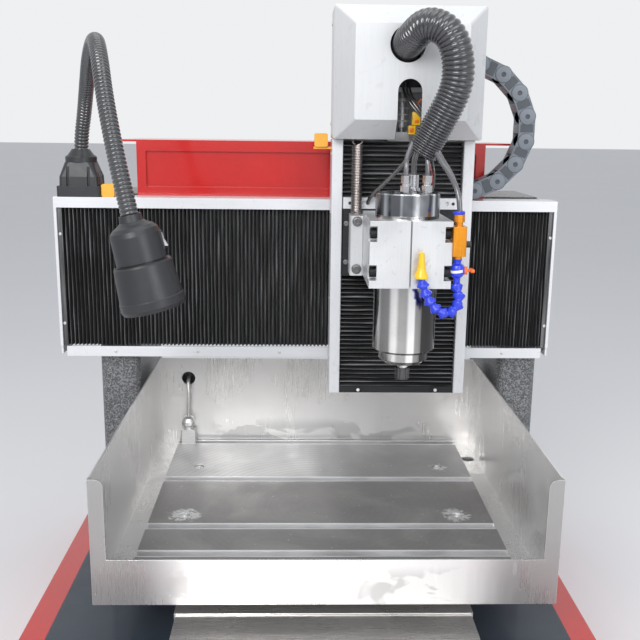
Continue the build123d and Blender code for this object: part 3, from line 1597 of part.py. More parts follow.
nodes = {
    "base_frame": base_frame,
    "deck_plates": deck_plates,
    "machine_bed": machine_bed,
    "linear_rails": linear_rails,
    "screw_supports": screw_supports,
    "axis_motors": axis_motors,
    "column_left": column_left,
    "column_right": column_right,
    "gantry_beam": gantry_beam,
    "beam_top_box": beam_top_box,
    "cover_frame": cover_frame,
    "x_bellows": x_bellows,
    "drag_chain": drag_chain,
    "way_cover_fixed": way_cover_fixed,
    "shelf_sensor": shelf_sensor,
    "lamp_base": lamp_base,
    "lamp_gooseneck": lamp_gooseneck,
    "lamp_head": lamp_head,
    "lamp_switch": lamp_switch,
    "table_plate": table_plate,
    "table_screws": table_screws,
    "tray": tray,
    "saddle": saddle,
    "y_bearings": y_bearings,
    "tool_setter": tool_setter,
    "setter_cable": setter_cable,
    "way_cover_upper": way_cover_upper,
    "way_cover_front_2": way_cover_front_2,
    "way_cover_front_3": way_cover_front_3,
    "way_cover_rear_2": way_cover_rear_2,
    "way_cover_rear_3": way_cover_rear_3,
    "y_screw": y_screw,
    "x_screw": x_screw,
    "carriage_casting": carriage_casting,
    "x_bearings": x_bearings,
    "z_column": z_column,
    "z_bottom_cap": z_bottom_cap,
    "z_guides": z_guides,
    "z_motor": z_motor,
    "head_cover": head_cover,
    "carriage_sensor": carriage_sensor,
    "z_bellows": z_bellows,
    "balance_spring": balance_spring,
    "corrugated_hose": corrugated_hose,
    "z_screw": z_screw,
    "z_plate": z_plate,
    "z_bearings": z_bearings,
    "spindle_clamp": spindle_clamp,
    "clamp_bolts": clamp_bolts,
    "spindle_body": spindle_body,
    "spindle_fittings": spindle_fittings,
    "spindle_tubes": spindle_tubes,
    "spindle_shaft": spindle_shaft,
    "collet_nut": collet_nut,
    "coolant_block": coolant_block,
    "valve_handle": valve_handle,
    "hose_base": hose_base,
    "hose_middle": hose_middle,
    "hose_end": hose_end,
    "coolant_nozzle": coolant_nozzle,
}

os.makedirs("parts", exist_ok=True)
for name, make in nodes.items():
    export_step(make(), f"parts/{name}.step")
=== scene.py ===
import math

import bmesh
import bpy
from mathutils import Matrix, Vector, noise


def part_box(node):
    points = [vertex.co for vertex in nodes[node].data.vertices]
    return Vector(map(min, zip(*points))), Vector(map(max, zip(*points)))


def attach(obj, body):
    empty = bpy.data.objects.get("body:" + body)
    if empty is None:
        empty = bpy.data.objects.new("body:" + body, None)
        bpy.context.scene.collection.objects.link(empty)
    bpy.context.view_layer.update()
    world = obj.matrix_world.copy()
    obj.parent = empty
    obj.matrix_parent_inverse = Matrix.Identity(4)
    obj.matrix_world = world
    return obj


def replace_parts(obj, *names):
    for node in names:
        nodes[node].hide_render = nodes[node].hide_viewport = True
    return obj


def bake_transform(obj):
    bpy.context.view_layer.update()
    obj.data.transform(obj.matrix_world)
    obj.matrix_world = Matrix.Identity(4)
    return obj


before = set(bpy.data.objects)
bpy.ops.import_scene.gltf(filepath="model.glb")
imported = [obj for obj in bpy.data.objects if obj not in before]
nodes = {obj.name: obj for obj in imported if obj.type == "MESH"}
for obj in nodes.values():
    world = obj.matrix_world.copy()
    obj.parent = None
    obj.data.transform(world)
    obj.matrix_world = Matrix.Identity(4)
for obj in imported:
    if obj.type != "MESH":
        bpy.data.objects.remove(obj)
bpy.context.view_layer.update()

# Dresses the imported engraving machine. The tables below hold millimetres in the
# row frame, which mm() turns into metres. Finishes work in metres.

scene = bpy.context.scene


def mm(x, y, z):
    return Vector((x, y, z)) * 0.001


# Mesh helpers


def placed(name, data):
    obj = bpy.data.objects.new(name, data)
    scene.collection.objects.link(obj)
    return obj


def smooth(mesh, angle):
    """Smooth faces, with edges sharper than the angle kept."""
    mesh.polygons.foreach_set("use_smooth", [True] * len(mesh.polygons))
    mesh.set_sharp_from_angle(angle=math.radians(angle))


def new_object(name, verts, faces, angle):
    mesh = bpy.data.meshes.new(name)
    mesh.from_pydata([tuple(v) for v in verts], [], faces)
    mesh.update()
    smooth(mesh, angle)
    return placed(name, mesh)


def from_bmesh(name, bm):
    mesh = bpy.data.meshes.new(name)
    bmesh.ops.recalc_face_normals(bm, faces=bm.faces)
    bm.to_mesh(mesh)
    bm.free()
    smooth(mesh, 40)
    return placed(name, mesh)


def join_objects(name, parts):
    """One mesh from several, with their world places kept."""
    bm = bmesh.new()
    for part in parts:
        copy = part.data.copy()
        copy.transform(part.matrix_world)
        bm.from_mesh(copy)
        bpy.data.meshes.remove(copy)
        bpy.data.objects.remove(part)
    return from_bmesh(name, bm)


def bevel_edges(bm, edges, width, segments):
    bmesh.ops.bevel(bm, geom=edges, offset=width * 0.001, segments=segments, profile=0.6,
                    affect="EDGES", clamp_overlap=True)


def block(name, low, high, bevel):
    """Bevelled block between two corners, in millimetres."""
    bm = bmesh.new()
    bmesh.ops.create_cube(bm, size=1)
    size = Vector(high) - Vector(low)
    centre = (Vector(high) + Vector(low)) / 2
    for v in bm.verts:
        v.co = Vector((v.co.x * size.x, v.co.y * size.y, v.co.z * size.z)) + centre
        v.co *= 0.001
    bevel_edges(bm, bm.edges[:], bevel, 2)
    return from_bmesh(name, bm)


def plate_outline(name, outline, low, high, bevel, segments=2):
    """Flat piece with an outline in X and Z, from low to high in Y."""
    bm = bmesh.new()
    face = bm.faces.new([bm.verts.new(mm(x, low, z)) for x, z in outline])
    made = bmesh.ops.extrude_face_region(bm, geom=[face])
    shift = mm(0, high, 0) - mm(0, low, 0)
    for v in made["geom"]:
        if isinstance(v, bmesh.types.BMVert):
            v.co += shift
    bmesh.ops.recalc_face_normals(bm, faces=bm.faces)
    rims = [e for e in bm.edges if len(e.link_faces) == 2 and e.calc_face_angle(0) > 0.9]
    bevel_edges(bm, rims, bevel, segments)
    return from_bmesh(name, bm)


def basis(direction):
    """Three unit vectors, the last along the direction."""
    z = Vector(direction).normalized()
    x = Vector((0, 0, 1)).cross(z)
    if x.length < 1e-4:
        x = Vector((1, 0, 0)).cross(z)
    x.normalize()
    return x, z.cross(x), z


def ring_faces(rings, sides, caps=True):
    """Faces that join rings of points, with flat ends if asked."""
    faces = []
    for start in range(0, (rings - 1) * sides, sides):
        for side in range(sides):
            a, b = start + side, start + (side + 1) % sides
            faces.append((a, b, b + sides, a + sides))
    if caps:
        faces.append(tuple(reversed(range(sides))))
        faces.append(tuple(range((rings - 1) * sides, rings * sides)))
    return faces


def lathe(name, profile, origin, direction, sides, shape=None):
    """Turned piece. The profile holds radius and height pairs in millimetres."""
    x, y, z = basis(direction)
    start = Vector(origin) * 0.001
    verts = []
    for index, (radius, height) in enumerate(profile):
        for side in range(sides):
            turn = 2 * math.pi * side / sides
            r = shape(index, radius, turn) if shape else radius
            verts.append(start + (x * math.cos(turn) * r + y * math.sin(turn) * r + z * height) * 0.001)
    return new_object(name, verts, ring_faces(len(profile), sides), 35)


socket_rings = (4, 5, 6)


def hexagon(index, radius, turn):
    """Makes the rings of a screw's socket six-sided."""
    if index not in socket_rings:
        return radius
    part = (turn + math.pi / 6) % (math.pi / 3) - math.pi / 6
    return radius * math.cos(math.pi / 6) / math.cos(part)


def socket_screw(place, radius, height):
    """Cap screw with a hexagon socket, facing the front; its place is under its head."""
    profile = [(radius, 0), (radius, height - 0.6), (radius - 0.15, height - 0.2), (radius - 0.6, height),
               (radius * 0.56, height), (radius * 0.52, height - 0.3), (radius * 0.5, height * 0.45),
               (0.02, height * 0.4)]
    return lathe("screw", profile, place, (0, -1, 0), 48, hexagon)


def pan_screw(name, place, direction, radius, height):
    """Low domed screw with a small hexagon socket."""
    shares = ((1, 0), (0.97, 0.35), (0.82, 0.75), (0.6, 0.97), (0.45, 1), (0.42, 0.95), (0.4, 0.4))
    profile = [(radius * out, height * up) for out, up in shares] + [(0.02, height * 0.35)]
    return lathe(name, profile, place, direction, 36, hexagon)


def nurbs_line(points, steps):
    """Points of the smooth line that a route gives."""
    curve = bpy.data.curves.new("route", "CURVE")
    curve.dimensions = "3D"
    curve.resolution_u = steps
    spline = curve.splines.new("NURBS")
    spline.points.add(len(points) - 1)
    for place, point in zip(spline.points, points):
        place.co = (*(value * 0.001 for value in point), 1)
    spline.order_u = 3
    spline.use_endpoint_u = True
    holder = placed("route", curve)
    bpy.context.view_layer.update()
    mesh = bpy.data.meshes.new_from_object(holder)
    line = [v.co.copy() for v in mesh.vertices]
    bpy.data.objects.remove(holder)
    bpy.data.meshes.remove(mesh)
    return line


def distances_of(line):
    """How far along a line each of its points is."""
    distances = [0]
    for a, b in zip(line, line[1:]):
        distances.append(distances[-1] + (b - a).length)
    return distances


def along(line, wanted):
    """Points of a line at the wanted distances."""
    distances = distances_of(line)
    found = []
    index = 0
    for d in wanted:
        d = min(max(d, 0), distances[-1])
        while index < len(line) - 2 and distances[index + 1] < d:
            index += 1
        run = distances[index + 1] - distances[index]
        share = (d - distances[index]) / run if run > 1e-9 else 0
        found.append(line[index].lerp(line[index + 1], share))
    return found


def tube(name, line, radii, distances=None, sides=24, caps=True, angle=50):
    """Tube along a line. The radius is in metres, one or a list with one per ring."""
    if distances is None:
        total = distances_of(line)[-1]
        count = max(8, int(total / 0.003))
        distances = [total * i / (count - 1) for i in range(count)]
    if not isinstance(radii, list):
        radii = [radii] * len(distances)
    points = along(line, distances)
    directions = [(after - before).normalized()
                  for before, after in zip(points[:1] + points[:-1], points[1:] + points[-1:])]
    x = basis(directions[0])[0]
    verts = []
    for point, direction, radius in zip(points, directions, radii):
        x = (x - direction * x.dot(direction)).normalized()
        y = direction.cross(x)
        for side in range(sides):
            turn = 2 * math.pi * side / sides
            verts.append(point + x * math.cos(turn) * radius + y * math.sin(turn) * radius)
    return new_object(name, verts, ring_faces(len(points), sides, caps), angle)


# Materials: each finish is kept in looks under its name

looks = {}


def shade(colour, factor):
    return tuple(min(c * factor, 1) for c in colour)


def grey(value):
    return value, value, value


def finer_along(axis, share):
    """Stretch that draws a noise out along an axis."""
    return tuple(share if name == axis else 1 for name in "XYZ")


def add_node(tree, kind, inputs=None, **settings):
    """New shader node. An input takes a value or another node's output."""
    node = tree.nodes.new("ShaderNode" + kind)
    for key, value in settings.items():
        setattr(node, key, value)
    for key, value in (inputs or {}).items():
        if isinstance(value, bpy.types.NodeSocket):
            tree.links.new(value, node.inputs[key])
        else:
            node.inputs[key].default_value = value
    return node


class Finish:
    """Procedural material whose layers are added one after another."""

    def __init__(self, name, colour, rough, soft=None, metal=0, coat=0, coat_rough=0.08, sheen=0,
                 clear=0):
        material = bpy.data.materials.new(name)
        looks[name] = material
        material.use_nodes = True
        self.tree = material.node_tree
        self.shader = self.tree.nodes["Principled BSDF"]
        self.base = colour
        self.colour = (*colour, 1)
        for key, value in (("Base Color", self.colour), ("Roughness", rough), ("Metallic", metal),
                           ("Coat Weight", coat), ("Coat Roughness", coat_rough), ("Sheen Weight", sheen),
                           ("Transmission Weight", clear)):
            self.shader.inputs[key].default_value = value
        self.places = self.add("TexCoord").outputs["Object"]
        self.normal = None
        if soft:
            # Rounds the look of sharp edges a little
            self.turn_normal(self.bevelled(soft))

    def add(self, kind, inputs=None, **settings):
        return add_node(self.tree, kind, inputs, **settings)

    def set(self, key, source):
        self.tree.links.new(source, self.shader.inputs[key])

    def bevelled(self, width):
        return self.add("Bevel", {"Radius": width}, samples=4).outputs["Normal"]

    def turn_normal(self, normal):
        self.normal = normal
        self.set("Normal", normal)

    def noise(self, scale, detail, stretch=None, warp=0):
        places = self.places
        if stretch:
            places = self.add("Mapping", {"Scale": stretch, "Vector": places}).outputs["Vector"]
        return self.add("TexNoise", {"Scale": scale, "Detail": detail, "Distortion": warp,
                                     "Vector": places}).outputs["Fac"]

    def cells(self, scale):
        return self.add("TexVoronoi", {"Scale": scale, "Vector": self.places}).outputs["Distance"]

    def coordinate(self, axis):
        return self.add("SeparateXYZ", {0: self.places}).outputs[axis]

    def spread(self, source, low, high, out_low=0, out_high=1, smooth=False):
        """Mask that runs from out_low to out_high while the source runs from low to high."""
        return self.add("MapRange", {"Value": source, "From Min": low, "From Max": high, "To Min": out_low,
                                     "To Max": out_high},
                        interpolation_type="SMOOTHSTEP" if smooth else "LINEAR").outputs["Result"]

    def patches(self, scale, detail, low, high, stretch=None, warp=0):
        """Mask where a noise is above low, full at high."""
        return self.spread(self.noise(scale, detail, stretch, warp), low, high)

    def combine(self, first, second, how="MULTIPLY"):
        return self.add("Math", {0: first, 1: second}, operation=how,
                        use_clamp=how in ("ADD", "SUBTRACT")).outputs[0]

    def any_of(self, masks):
        strongest = masks[0]
        for mask in masks[1:]:
            strongest = self.combine(strongest, mask, "MAXIMUM")
        return strongest

    def near(self, place, radius):
        """Mask that is 1 at a place and fades out towards the radius."""
        away = self.add("VectorMath", {0: self.places, 1: place}, operation="DISTANCE")
        return self.spread(away.outputs["Value"], radius, 0)

    def distance_from(self, axis, centre):
        shift = self.add("Math", {0: self.coordinate(axis), 1: centre}, operation="SUBTRACT")
        return self.add("Math", {0: shift.outputs[0]}, operation="ABSOLUTE").outputs[0]

    def band(self, axis, centre, half, fade):
        """Mask that is 1 within half of a plane across an axis."""
        return self.spread(self.distance_from(axis, centre), half + fade, half)

    def tint(self, mask, tone, strength):
        """Mixes in a colour, or the base colour times a number."""
        colour = tone if isinstance(tone, tuple) else shade(self.base, tone)
        mix = self.add("Mix", {0: self.combine(mask, strength), 6: self.colour, 7: (*colour, 1)},
                       data_type="RGBA")
        self.colour = mix.outputs[2]
        self.set("Base Color", self.colour)

    def cloud(self, scale, detail, low, high, tone, strength, stretch=None, warp=0):
        self.tint(self.patches(scale, detail, low, high, stretch, warp), tone, strength)

    def edge_wear_and_highlight(self, width, tone, strength, low=0.03, high=0.3):
        """Tints the piece's own edges, found from the bevelled normal: partly worn edges, partly a painted
        highlight.
        """
        true = self.add("NewGeometry").outputs["Normal"]
        dot = self.add("VectorMath", {0: self.bevelled(width), 1: true}, operation="DOT_PRODUCT")
        turned = self.combine(1, dot.outputs["Value"], "SUBTRACT")
        self.tint(self.spread(turned, low, high), tone, strength)

    def roughen(self, mask, low, high):
        """Roughness from low to high over the mask."""
        self.set("Roughness", self.spread(mask, 0, 1, low, high))

    def relief(self, height, strength, distance):
        inputs = {"Strength": strength, "Distance": distance, "Height": height}
        if self.normal:
            inputs["Normal"] = self.normal
        self.turn_normal(self.add("Bump", inputs).outputs["Normal"])


def paint(name, colour, rough, coat, grime=0.3, texture=0.15):
    """Sprayed paint: orange-peel relief, slight clouding, and lighter edges that are partly worn and partly
    a painted highlight.
    """
    f = Finish(name, colour, rough, 0.001, coat=coat)
    f.cloud(7, 5, 0.42, 0.72, 0.72, grime)
    f.cloud(60, 3, 0.5, 0.75, 1.18, 0.25)
    f.edge_wear_and_highlight(0.0014, 1.5, 0.35)
    f.roughen(f.noise(30, 5), rough * 0.75, rough * 1.35)
    f.relief(f.noise(420, 2), texture, 0.0006)


def hammer_paint(name, dark, light):
    """Speckled hammer finish of the castings."""
    f = Finish(name, dark, 0.42, 0.0015, coat=0.25, coat_rough=0.2)
    f.cloud(9, 4, 0.35, 0.75, 0.6, 0.6)
    f.cloud(430, 3, 0.47, 0.61, light, 0.75)
    f.cloud(900, 2, 0.53, 0.66, shade(light, 1.25), 0.5)
    f.edge_wear_and_highlight(0.002, light, 0.35)
    f.roughen(f.noise(260, 3), 0.294, 0.588)
    f.relief(f.cells(330), 0.35, 0.0012)
    f.relief(f.noise(800, 2), 0.12, 0.0006)


def brushed(name, colour, rough, axis, smudge=0.3, metal=1):
    """Sheet or bar metal with brushing along one axis, smudges and bright edges."""
    stretch = finer_along(axis, 0.02)
    f = Finish(name, colour, rough, 0.0008, metal=metal)
    grain = f.noise(810, 4, stretch)
    f.tint(f.spread(grain, 0.35, 0.7), 0.72, 0.22)
    f.cloud(198, 3, 0.45, 0.75, 1.25, 0.35, stretch)
    f.cloud(5.5, 6, 0.45, 0.75, 0.62, smudge, warp=0.6)
    f.edge_wear_and_highlight(0.001, 1.5, 0.5, high=0.35)
    mix = f.combine(f.spread(grain, 0.3, 0.7), f.patches(11, 6, 0.35, 0.75, warp=0.4), "ADD")
    f.roughen(mix, rough * 0.7, rough * 1.9)
    f.relief(grain, 0.05, 0.0004)


def plastic(name, colour, rough, coat=0, mottle=0.2, texture=0.08, edge_wear_and_highlight=0.3):
    """Moulded plastic: mottled, with paler edges."""
    f = Finish(name, colour, rough, 0.0006, coat=coat)
    f.cloud(35, 4, 0.45, 0.75, 0.7, mottle)
    f.cloud(300, 2, 0.55, 0.75, 1.3, mottle * 0.5)
    f.edge_wear_and_highlight(0.0008, tuple(min(c * 1.5 + 0.03, 1) for c in colour), edge_wear_and_highlight)
    f.roughen(f.noise(90, 4), rough * 0.8, rough * 1.35)
    f.relief(f.noise(1300, 2), texture, 0.0003)


def turned(name, colour, rough, ring=0.12, stains=0.25):
    """Lathe-turned metal: fine rings round its axis, light stains, and lighter edges that are partly worn
    and partly a painted highlight.
    """
    f = Finish(name, colour, rough, 0.0005, metal=1)
    grain = f.noise(1400, 3, (0.03, 0.03, 1))
    f.tint(f.spread(grain, 0.4, 0.7), 0.75, 0.3)
    f.cloud(26, 5, 0.5, 0.72, 0.5, stains, warp=0.8)
    f.edge_wear_and_highlight(0.0007, 1.5, 0.4)
    mix = f.combine(f.spread(grain, 0.3, 0.75), f.patches(40, 5, 0.4, 0.75), "ADD")
    f.roughen(mix, rough * 0.7, rough * 2)
    f.relief(grain, ring, 0.0003)


def coated_sheet(name, colour, axis):
    """Silver-white coated sheet and profiles: satin, faintly brushed, with bright edges."""
    f = Finish(name, colour, 0.36, 0.0009, metal=0.25, coat=0.15, coat_rough=0.3)
    grain = f.noise(700, 3, finer_along(axis, 0.03))
    f.tint(f.spread(grain, 0.4, 0.7), 0.86, 0.3)
    f.cloud(4.5, 4, 0.42, 0.75, 0.8, 0.3)
    f.cloud(70, 6, 0.62, 0.72, (0.35, 0.34, 0.32), 0.2, warp=1)
    f.edge_wear_and_highlight(0.0013, grey(0.95), 0.55, 0.02, 0.25)
    f.roughen(f.noise(14, 5), 0.26, 0.5)
    f.relief(grain, 0.04, 0.0004)
    f.relief(f.noise(900, 2), 0.05, 0.0003)


def bellows_finish(name, along_fold, front, fold_highlight):
    """Coated cloth. The front of each fold is lightened unevenly along it, a painted highlight."""
    f = Finish(name, (0.01, 0.01, 0.011), 0.34, coat=0.25, coat_rough=0.25, sheen=0.1)
    stretch = finer_along(along_fold, 0.06)
    ridge = f.spread(f.coordinate("Y"), front + 0.003, front + 0.0002, smooth=True)
    patch = f.patches(150, 4, 0.38, 0.68, stretch)
    f.cloud(20, 5, 0.4, 0.75, (0.03, 0.03, 0.032), 0.7)
    # Painted highlight on the front of each fold
    f.tint(f.combine(ridge, patch), fold_highlight, 0.85)
    f.cloud(900, 3, 0.62, 0.7, grey(0.35), 0.18)
    f.roughen(f.noise(60, 4, stretch), 0.22, 0.5)
    f.relief(f.noise(1600, 2), 0.1, 0.0004)


def stainless_finish(name, colour, rough, axis, walls=False):
    """Bright sheet with cloudy wiping marks, dried pools low on the walls and faint brushing; with walls,
    painted shade darkens both ends of the front wall.
    """
    f = Finish(name, colour, rough, 0.0007, metal=0.8)
    grain = f.noise(700, 3, finer_along(axis, 0.015))
    f.tint(f.spread(grain, 0.4, 0.75), 0.92, 0.1)
    f.cloud(5, 5, 0.42, 0.68, 0.82, 0.4, warp=0.8)
    if walls:
        # Painted shade: both ends of the front wall darker
        painted_shade_ends = f.combine(f.spread(f.distance_from("X", 0), 0.15, 0.215, smooth=True),
                          f.spread(f.coordinate("Y"), -0.23, -0.238))
        f.tint(painted_shade_ends, 0.36, 0.85)
        low_wall = f.combine(f.spread(f.coordinate("Z"), 0.282, 0.262, smooth=True),
                             f.spread(f.distance_from("X", 0), 0.19, 0.15, smooth=True))
        pools = f.patches(13, 3, 0.5, 0.53, (0.8, 1, 1.6), 0.6)
        f.tint(f.combine(low_wall, pools), 0.55, 0.6)
        speck = f.patches(210, 4, 0.7, 0.74)
        f.tint(f.combine(speck, f.spread(f.coordinate("Z"), 0.33, 0.25)), grey(0.95), 0.4)
    f.cloud(60, 2, 0.7, 0.73, grey(0.97), 0.12, (1, 0.4, 0.3), 0.5)
    f.edge_wear_and_highlight(0.001, grey(0.97), 0.75)
    cloud = f.combine(f.patches(9, 6, 0.4, 0.75, warp=0.7), f.spread(grain, 0.4, 0.8), "ADD")
    f.roughen(cloud, rough * 0.8, rough * 1.6)
    f.relief(f.noise(3.2, 2), 0.25, 0.004)
    f.relief(grain, 0.015, 0.0003)


def reflection_banded_steel(name, colour, rough, centre, reflection_bands):
    """Polished cylinder: fine turning rings under broad light and dark painted reflections, each a band
    along its length.

    A band holds its offset from the centre in X, half width, fade, shade and strength."""
    f = Finish(name, colour, rough, 0.0005, metal=1)
    grain = f.noise(1300, 3, (0.03, 0.03, 1))
    f.tint(f.spread(grain, 0.42, 0.72), 0.8, 0.18)
    f.cloud(30, 5, 0.5, 0.72, 0.6, 0.3, (1, 1, 0.25), 0.8)
    # Light and dark stripes across X: painted reflections and highlights
    for offset, half, fade, factor, strength in reflection_bands:
        f.tint(f.band("X", centre + offset, half, fade), factor, strength)
    f.edge_wear_and_highlight(0.0008, (0.95, 0.95, 0.96), 0.5)
    f.roughen(f.patches(40, 5, 0.4, 0.75), rough * 0.7, rough * 1.9)
    f.relief(grain, 0.04, 0.0003)


def tube_finish(name, colour, metal, clear):
    f = Finish(name, colour, 0.12, metal=metal, coat=0.8, clear=clear)
    f.cloud(60, 4, 0.45, 0.7, 0.6, 0.4)
    f.cloud(400, 3, 0.55, 0.7, 1.4, 0.3)
    f.roughen(f.noise(120, 3), 0.1, 0.3)


paint("red_paint", (0.52, 0.01, 0.008), 0.22, 0.7, grime=0.35, texture=0.3)
paint("deck_paint", (0.03, 0.042, 0.06), 0.42, 0.2, grime=0.5, texture=0.2)
paint("motor_paint", (0.022, 0.022, 0.024), 0.4, 0.1)
hammer_paint("casting_paint", (0.05, 0.052, 0.055), (0.26, 0.27, 0.28))
hammer_paint("saddle_paint", (0.05, 0.052, 0.055), (0.2, 0.21, 0.22))
for name, axis in (("x_guide_steel", "X"), ("guide_steel", "Y"), ("z_guide_steel", "Z")):
    brushed(name, (0.62, 0.63, 0.65), 0.22, axis)
brushed("black_anodised", (0.03, 0.031, 0.034), 0.36, "X", metal=0.6, smudge=0.4)
brushed("black_oxide", (0.028, 0.028, 0.03), 0.3, "X", metal=0.8)
brushed("bright_alloy", (0.92, 0.92, 0.93), 0.35, "Z", metal=0.3)
coated_sheet("white_column_coat", (0.7, 0.71, 0.73), "Z")
coated_sheet("white_frame_coat", (0.7, 0.71, 0.73), "X")
coated_sheet("white_cover_coat", (0.62, 0.63, 0.64), "Z")
turned("bright_zinc", (0.88, 0.88, 0.87), 0.3, stains=0.1)
turned("dark_steel", (0.2, 0.2, 0.205), 0.26, ring=0.06, stains=0.3)
turned("zinc_steel", (0.62, 0.62, 0.6), 0.28, stains=0.3)
turned("bright_plate", (0.78, 0.78, 0.8), 0.09, ring=0.04, stains=0.15)
turned("nut_steel", (0.12, 0.12, 0.125), 0.3, ring=0.1, stains=0.5)
plastic("chain_plastic", (0.165, 0.185, 0.21), 0.42, mottle=0.25, edge_wear_and_highlight=0.6, texture=0.12)
plastic("chain_panel", (0.06, 0.07, 0.082), 0.5, mottle=0.3)
plastic("lamp_plastic", (0.022, 0.023, 0.026), 0.36, mottle=0.3, texture=0.25, edge_wear_and_highlight=0.25)
plastic("hose_plastic", (0.034, 0.035, 0.039), 0.18, coat=0.9, mottle=0.3)
plastic("blue_plastic", (0.018, 0.045, 0.62), 0.28, coat=0.3, edge_wear_and_highlight=0.35)
plastic("yellow_plastic", (0.86, 0.52, 0.012), 0.3, coat=0.2, mottle=0.25)
plastic("sensor_plastic", (0.88, 0.42, 0.05), 0.35, mottle=0.25)
plastic("orange_plastic", (0.85, 0.16, 0.02), 0.3, coat=0.2)
plastic("black_plastic", (0.02, 0.02, 0.022), 0.3, coat=0.2)
plastic("white_plastic", (0.8, 0.8, 0.78), 0.35, mottle=0.15)
plastic("rocker_plastic", (0.52, 0.54, 0.56), 0.3)

# Orange brass of the coolant block
f = Finish("orange_brass", (0.78, 0.3, 0.025), 0.3, 0.0006, metal=0.85)
f.cloud(40, 5, 0.42, 0.7, (0.5, 0.17, 0.015), 0.6, warp=0.5)
f.cloud(500, 3, 0.45, 0.7, (0.95, 0.48, 0.06), 0.35, (1, 1, 0.05))
f.edge_wear_and_highlight(0.0008, (1, 0.62, 0.18), 0.6)
f.roughen(f.noise(60, 4), 0.2, 0.5)
f.relief(f.noise(900, 2), 0.08, 0.0003)

# The last colour is the painted highlight on each cover's fold fronts
bellows_finish("x_bellows_cloth", "Z", 0.122, (0.16, 0.165, 0.17))
bellows_finish("z_bellows_cloth", "X", 0.061, (0.3, 0.31, 0.33))
stainless_finish("tray_steel", (0.84, 0.83, 0.82), 0.28, "Z", walls=True)
stainless_finish("cover_steel", (0.9, 0.88, 0.86), 0.22, "X")

slot_places = (0.251, 0.096, -0.061, -0.136)
slot_half, slot_fade = 0.0082, 0.0014
table_top, screw_x, rear_screw_y, middle_screw_y = 0.24, 0.185, 0.144, -0.028

# Milled aluminium: mottled grey fields, a lighter back and a paler left back part that are painted
# reflections, bright slots and whitish splashes at three screws
f = Finish("milled_table", (0.33, 0.32, 0.315), 0.34, 0.0006, metal=0.7)
arcs = f.add("TexWave", {"Scale": 34, "Distortion": 1.2, "Detail": 2, "Vector": f.places},
             wave_type="RINGS", rings_direction="Z").outputs["Fac"]
# Painted reflections: the back of the table lighter, its left back part paler still
painted_reflection_back = f.spread(f.coordinate("Y"), 0.075, 0.115, smooth=True)
f.tint(painted_reflection_back, (0.46, 0.46, 0.465), 0.85)
painted_reflection_left_back = f.combine(painted_reflection_back, f.spread(f.coordinate("X"), 0.01, -0.02, smooth=True))
f.tint(painted_reflection_left_back, grey(0.72), 0.8)
f.tint(arcs, 0.85, 0.2)
f.cloud(5, 6, 0.4, 0.72, 0.62, 0.4, warp=0.5)
f.cloud(9, 5, 0.5, 0.7, 1.7, 0.45, warp=0.8)
f.cloud(900, 3, 0.4, 0.7, 1.3, 0.2, (0.03, 1, 1))
round_screws = f.any_of([f.near((x, middle_screw_y, table_top), 0.034) for x in (-screw_x, screw_x)])
splash = f.combine(round_screws, f.patches(95, 6, 0.15, 0.75, warp=1.4))
f.tint(f.spread(splash, 0.2, 0.34, smooth=True), grey(0.9), 0.75)
round_drop = f.near((screw_x, rear_screw_y, table_top), 0.024)
drop = f.combine(round_drop, f.patches(150, 4, 0.3, 0.7, warp=1))
f.tint(f.spread(drop, 0.24, 0.38, smooth=True), grey(0.88), 0.7)
f.cloud(170, 2, 0.71, 0.75, grey(0.8), 0.5)
slots = f.any_of([f.band("Y", place, slot_half, slot_fade) for place in slot_places])
worn = f.spread(f.noise(45, 4, (0.4, 1, 1)), 0.2, 0.55, 0.55, 1)
f.tint(f.combine(slots, worn), (0.93, 0.93, 0.94), 0.95)
f.edge_wear_and_highlight(0.0016, grey(0.95), 0.9, 0.02, 0.2)
f.roughen(f.noise(22, 6, warp=0.5), 0.26, 0.55)
f.relief(arcs, 0.03, 0.0004)
f.relief(f.noise(600, 3), 0.05, 0.0003)

# Spindle, its top ring and the spring: the light and dark stripes in these tables are painted reflections
spindle_x, spring_x = 0.1025, 0.044
reflection_banded_steel("turned_steel", (0.66, 0.65, 0.64), 0.17, spindle_x, (
    (-0.0385, 0.0012, 0.0015, 0.1, 0.9), (-0.034, 0.0018, 0.002, 1.1, 0.6),
    (-0.0267, 0.005, 0.003, 0.3, 0.8), (-0.017, 0.0034, 0.003, 1.3, 0.7),
    (-0.0065, 0.0045, 0.004, 0.45, 0.75), (0.005, 0.0034, 0.003, 1.4, 0.75),
    (0.0125, 0.0028, 0.002, 0.35, 0.8), (0.028, 0.0102, 0.003, 0.08, 0.96),
    (0.0394, 0.0006, 0.0006, 1.3, 0.7)))
reflection_banded_steel("turned_ring", (0.66, 0.68, 0.71), 0.15, spindle_x, (
    (-0.0365, 0.004, 0.002, 0.16, 0.9), (-0.029, 0.0016, 0.002, 0.8, 0.6),
    (-0.0205, 0.006, 0.004, 0.26, 0.9), (-0.0115, 0.001, 0.001, 1.1, 0.7),
    (-0.0045, 0.005, 0.003, 0.34, 0.85), (0.0075, 0.0022, 0.0015, 1.5, 0.95),
    (0.018, 0.007, 0.004, 0.42, 0.8), (0.029, 0.0012, 0.001, 1.4, 0.8),
    (0.036, 0.0045, 0.002, 0.16, 0.92)))
reflection_banded_steel("spring_steel", (0.46, 0.41, 0.39), 0.36, spring_x, (
    (-0.006, 0.002, 0.002, 0.3, 0.85), (0.0008, 0.0016, 0.0014, 1.8, 0.8),
    (0.006, 0.0018, 0.002, 0.35, 0.8)))

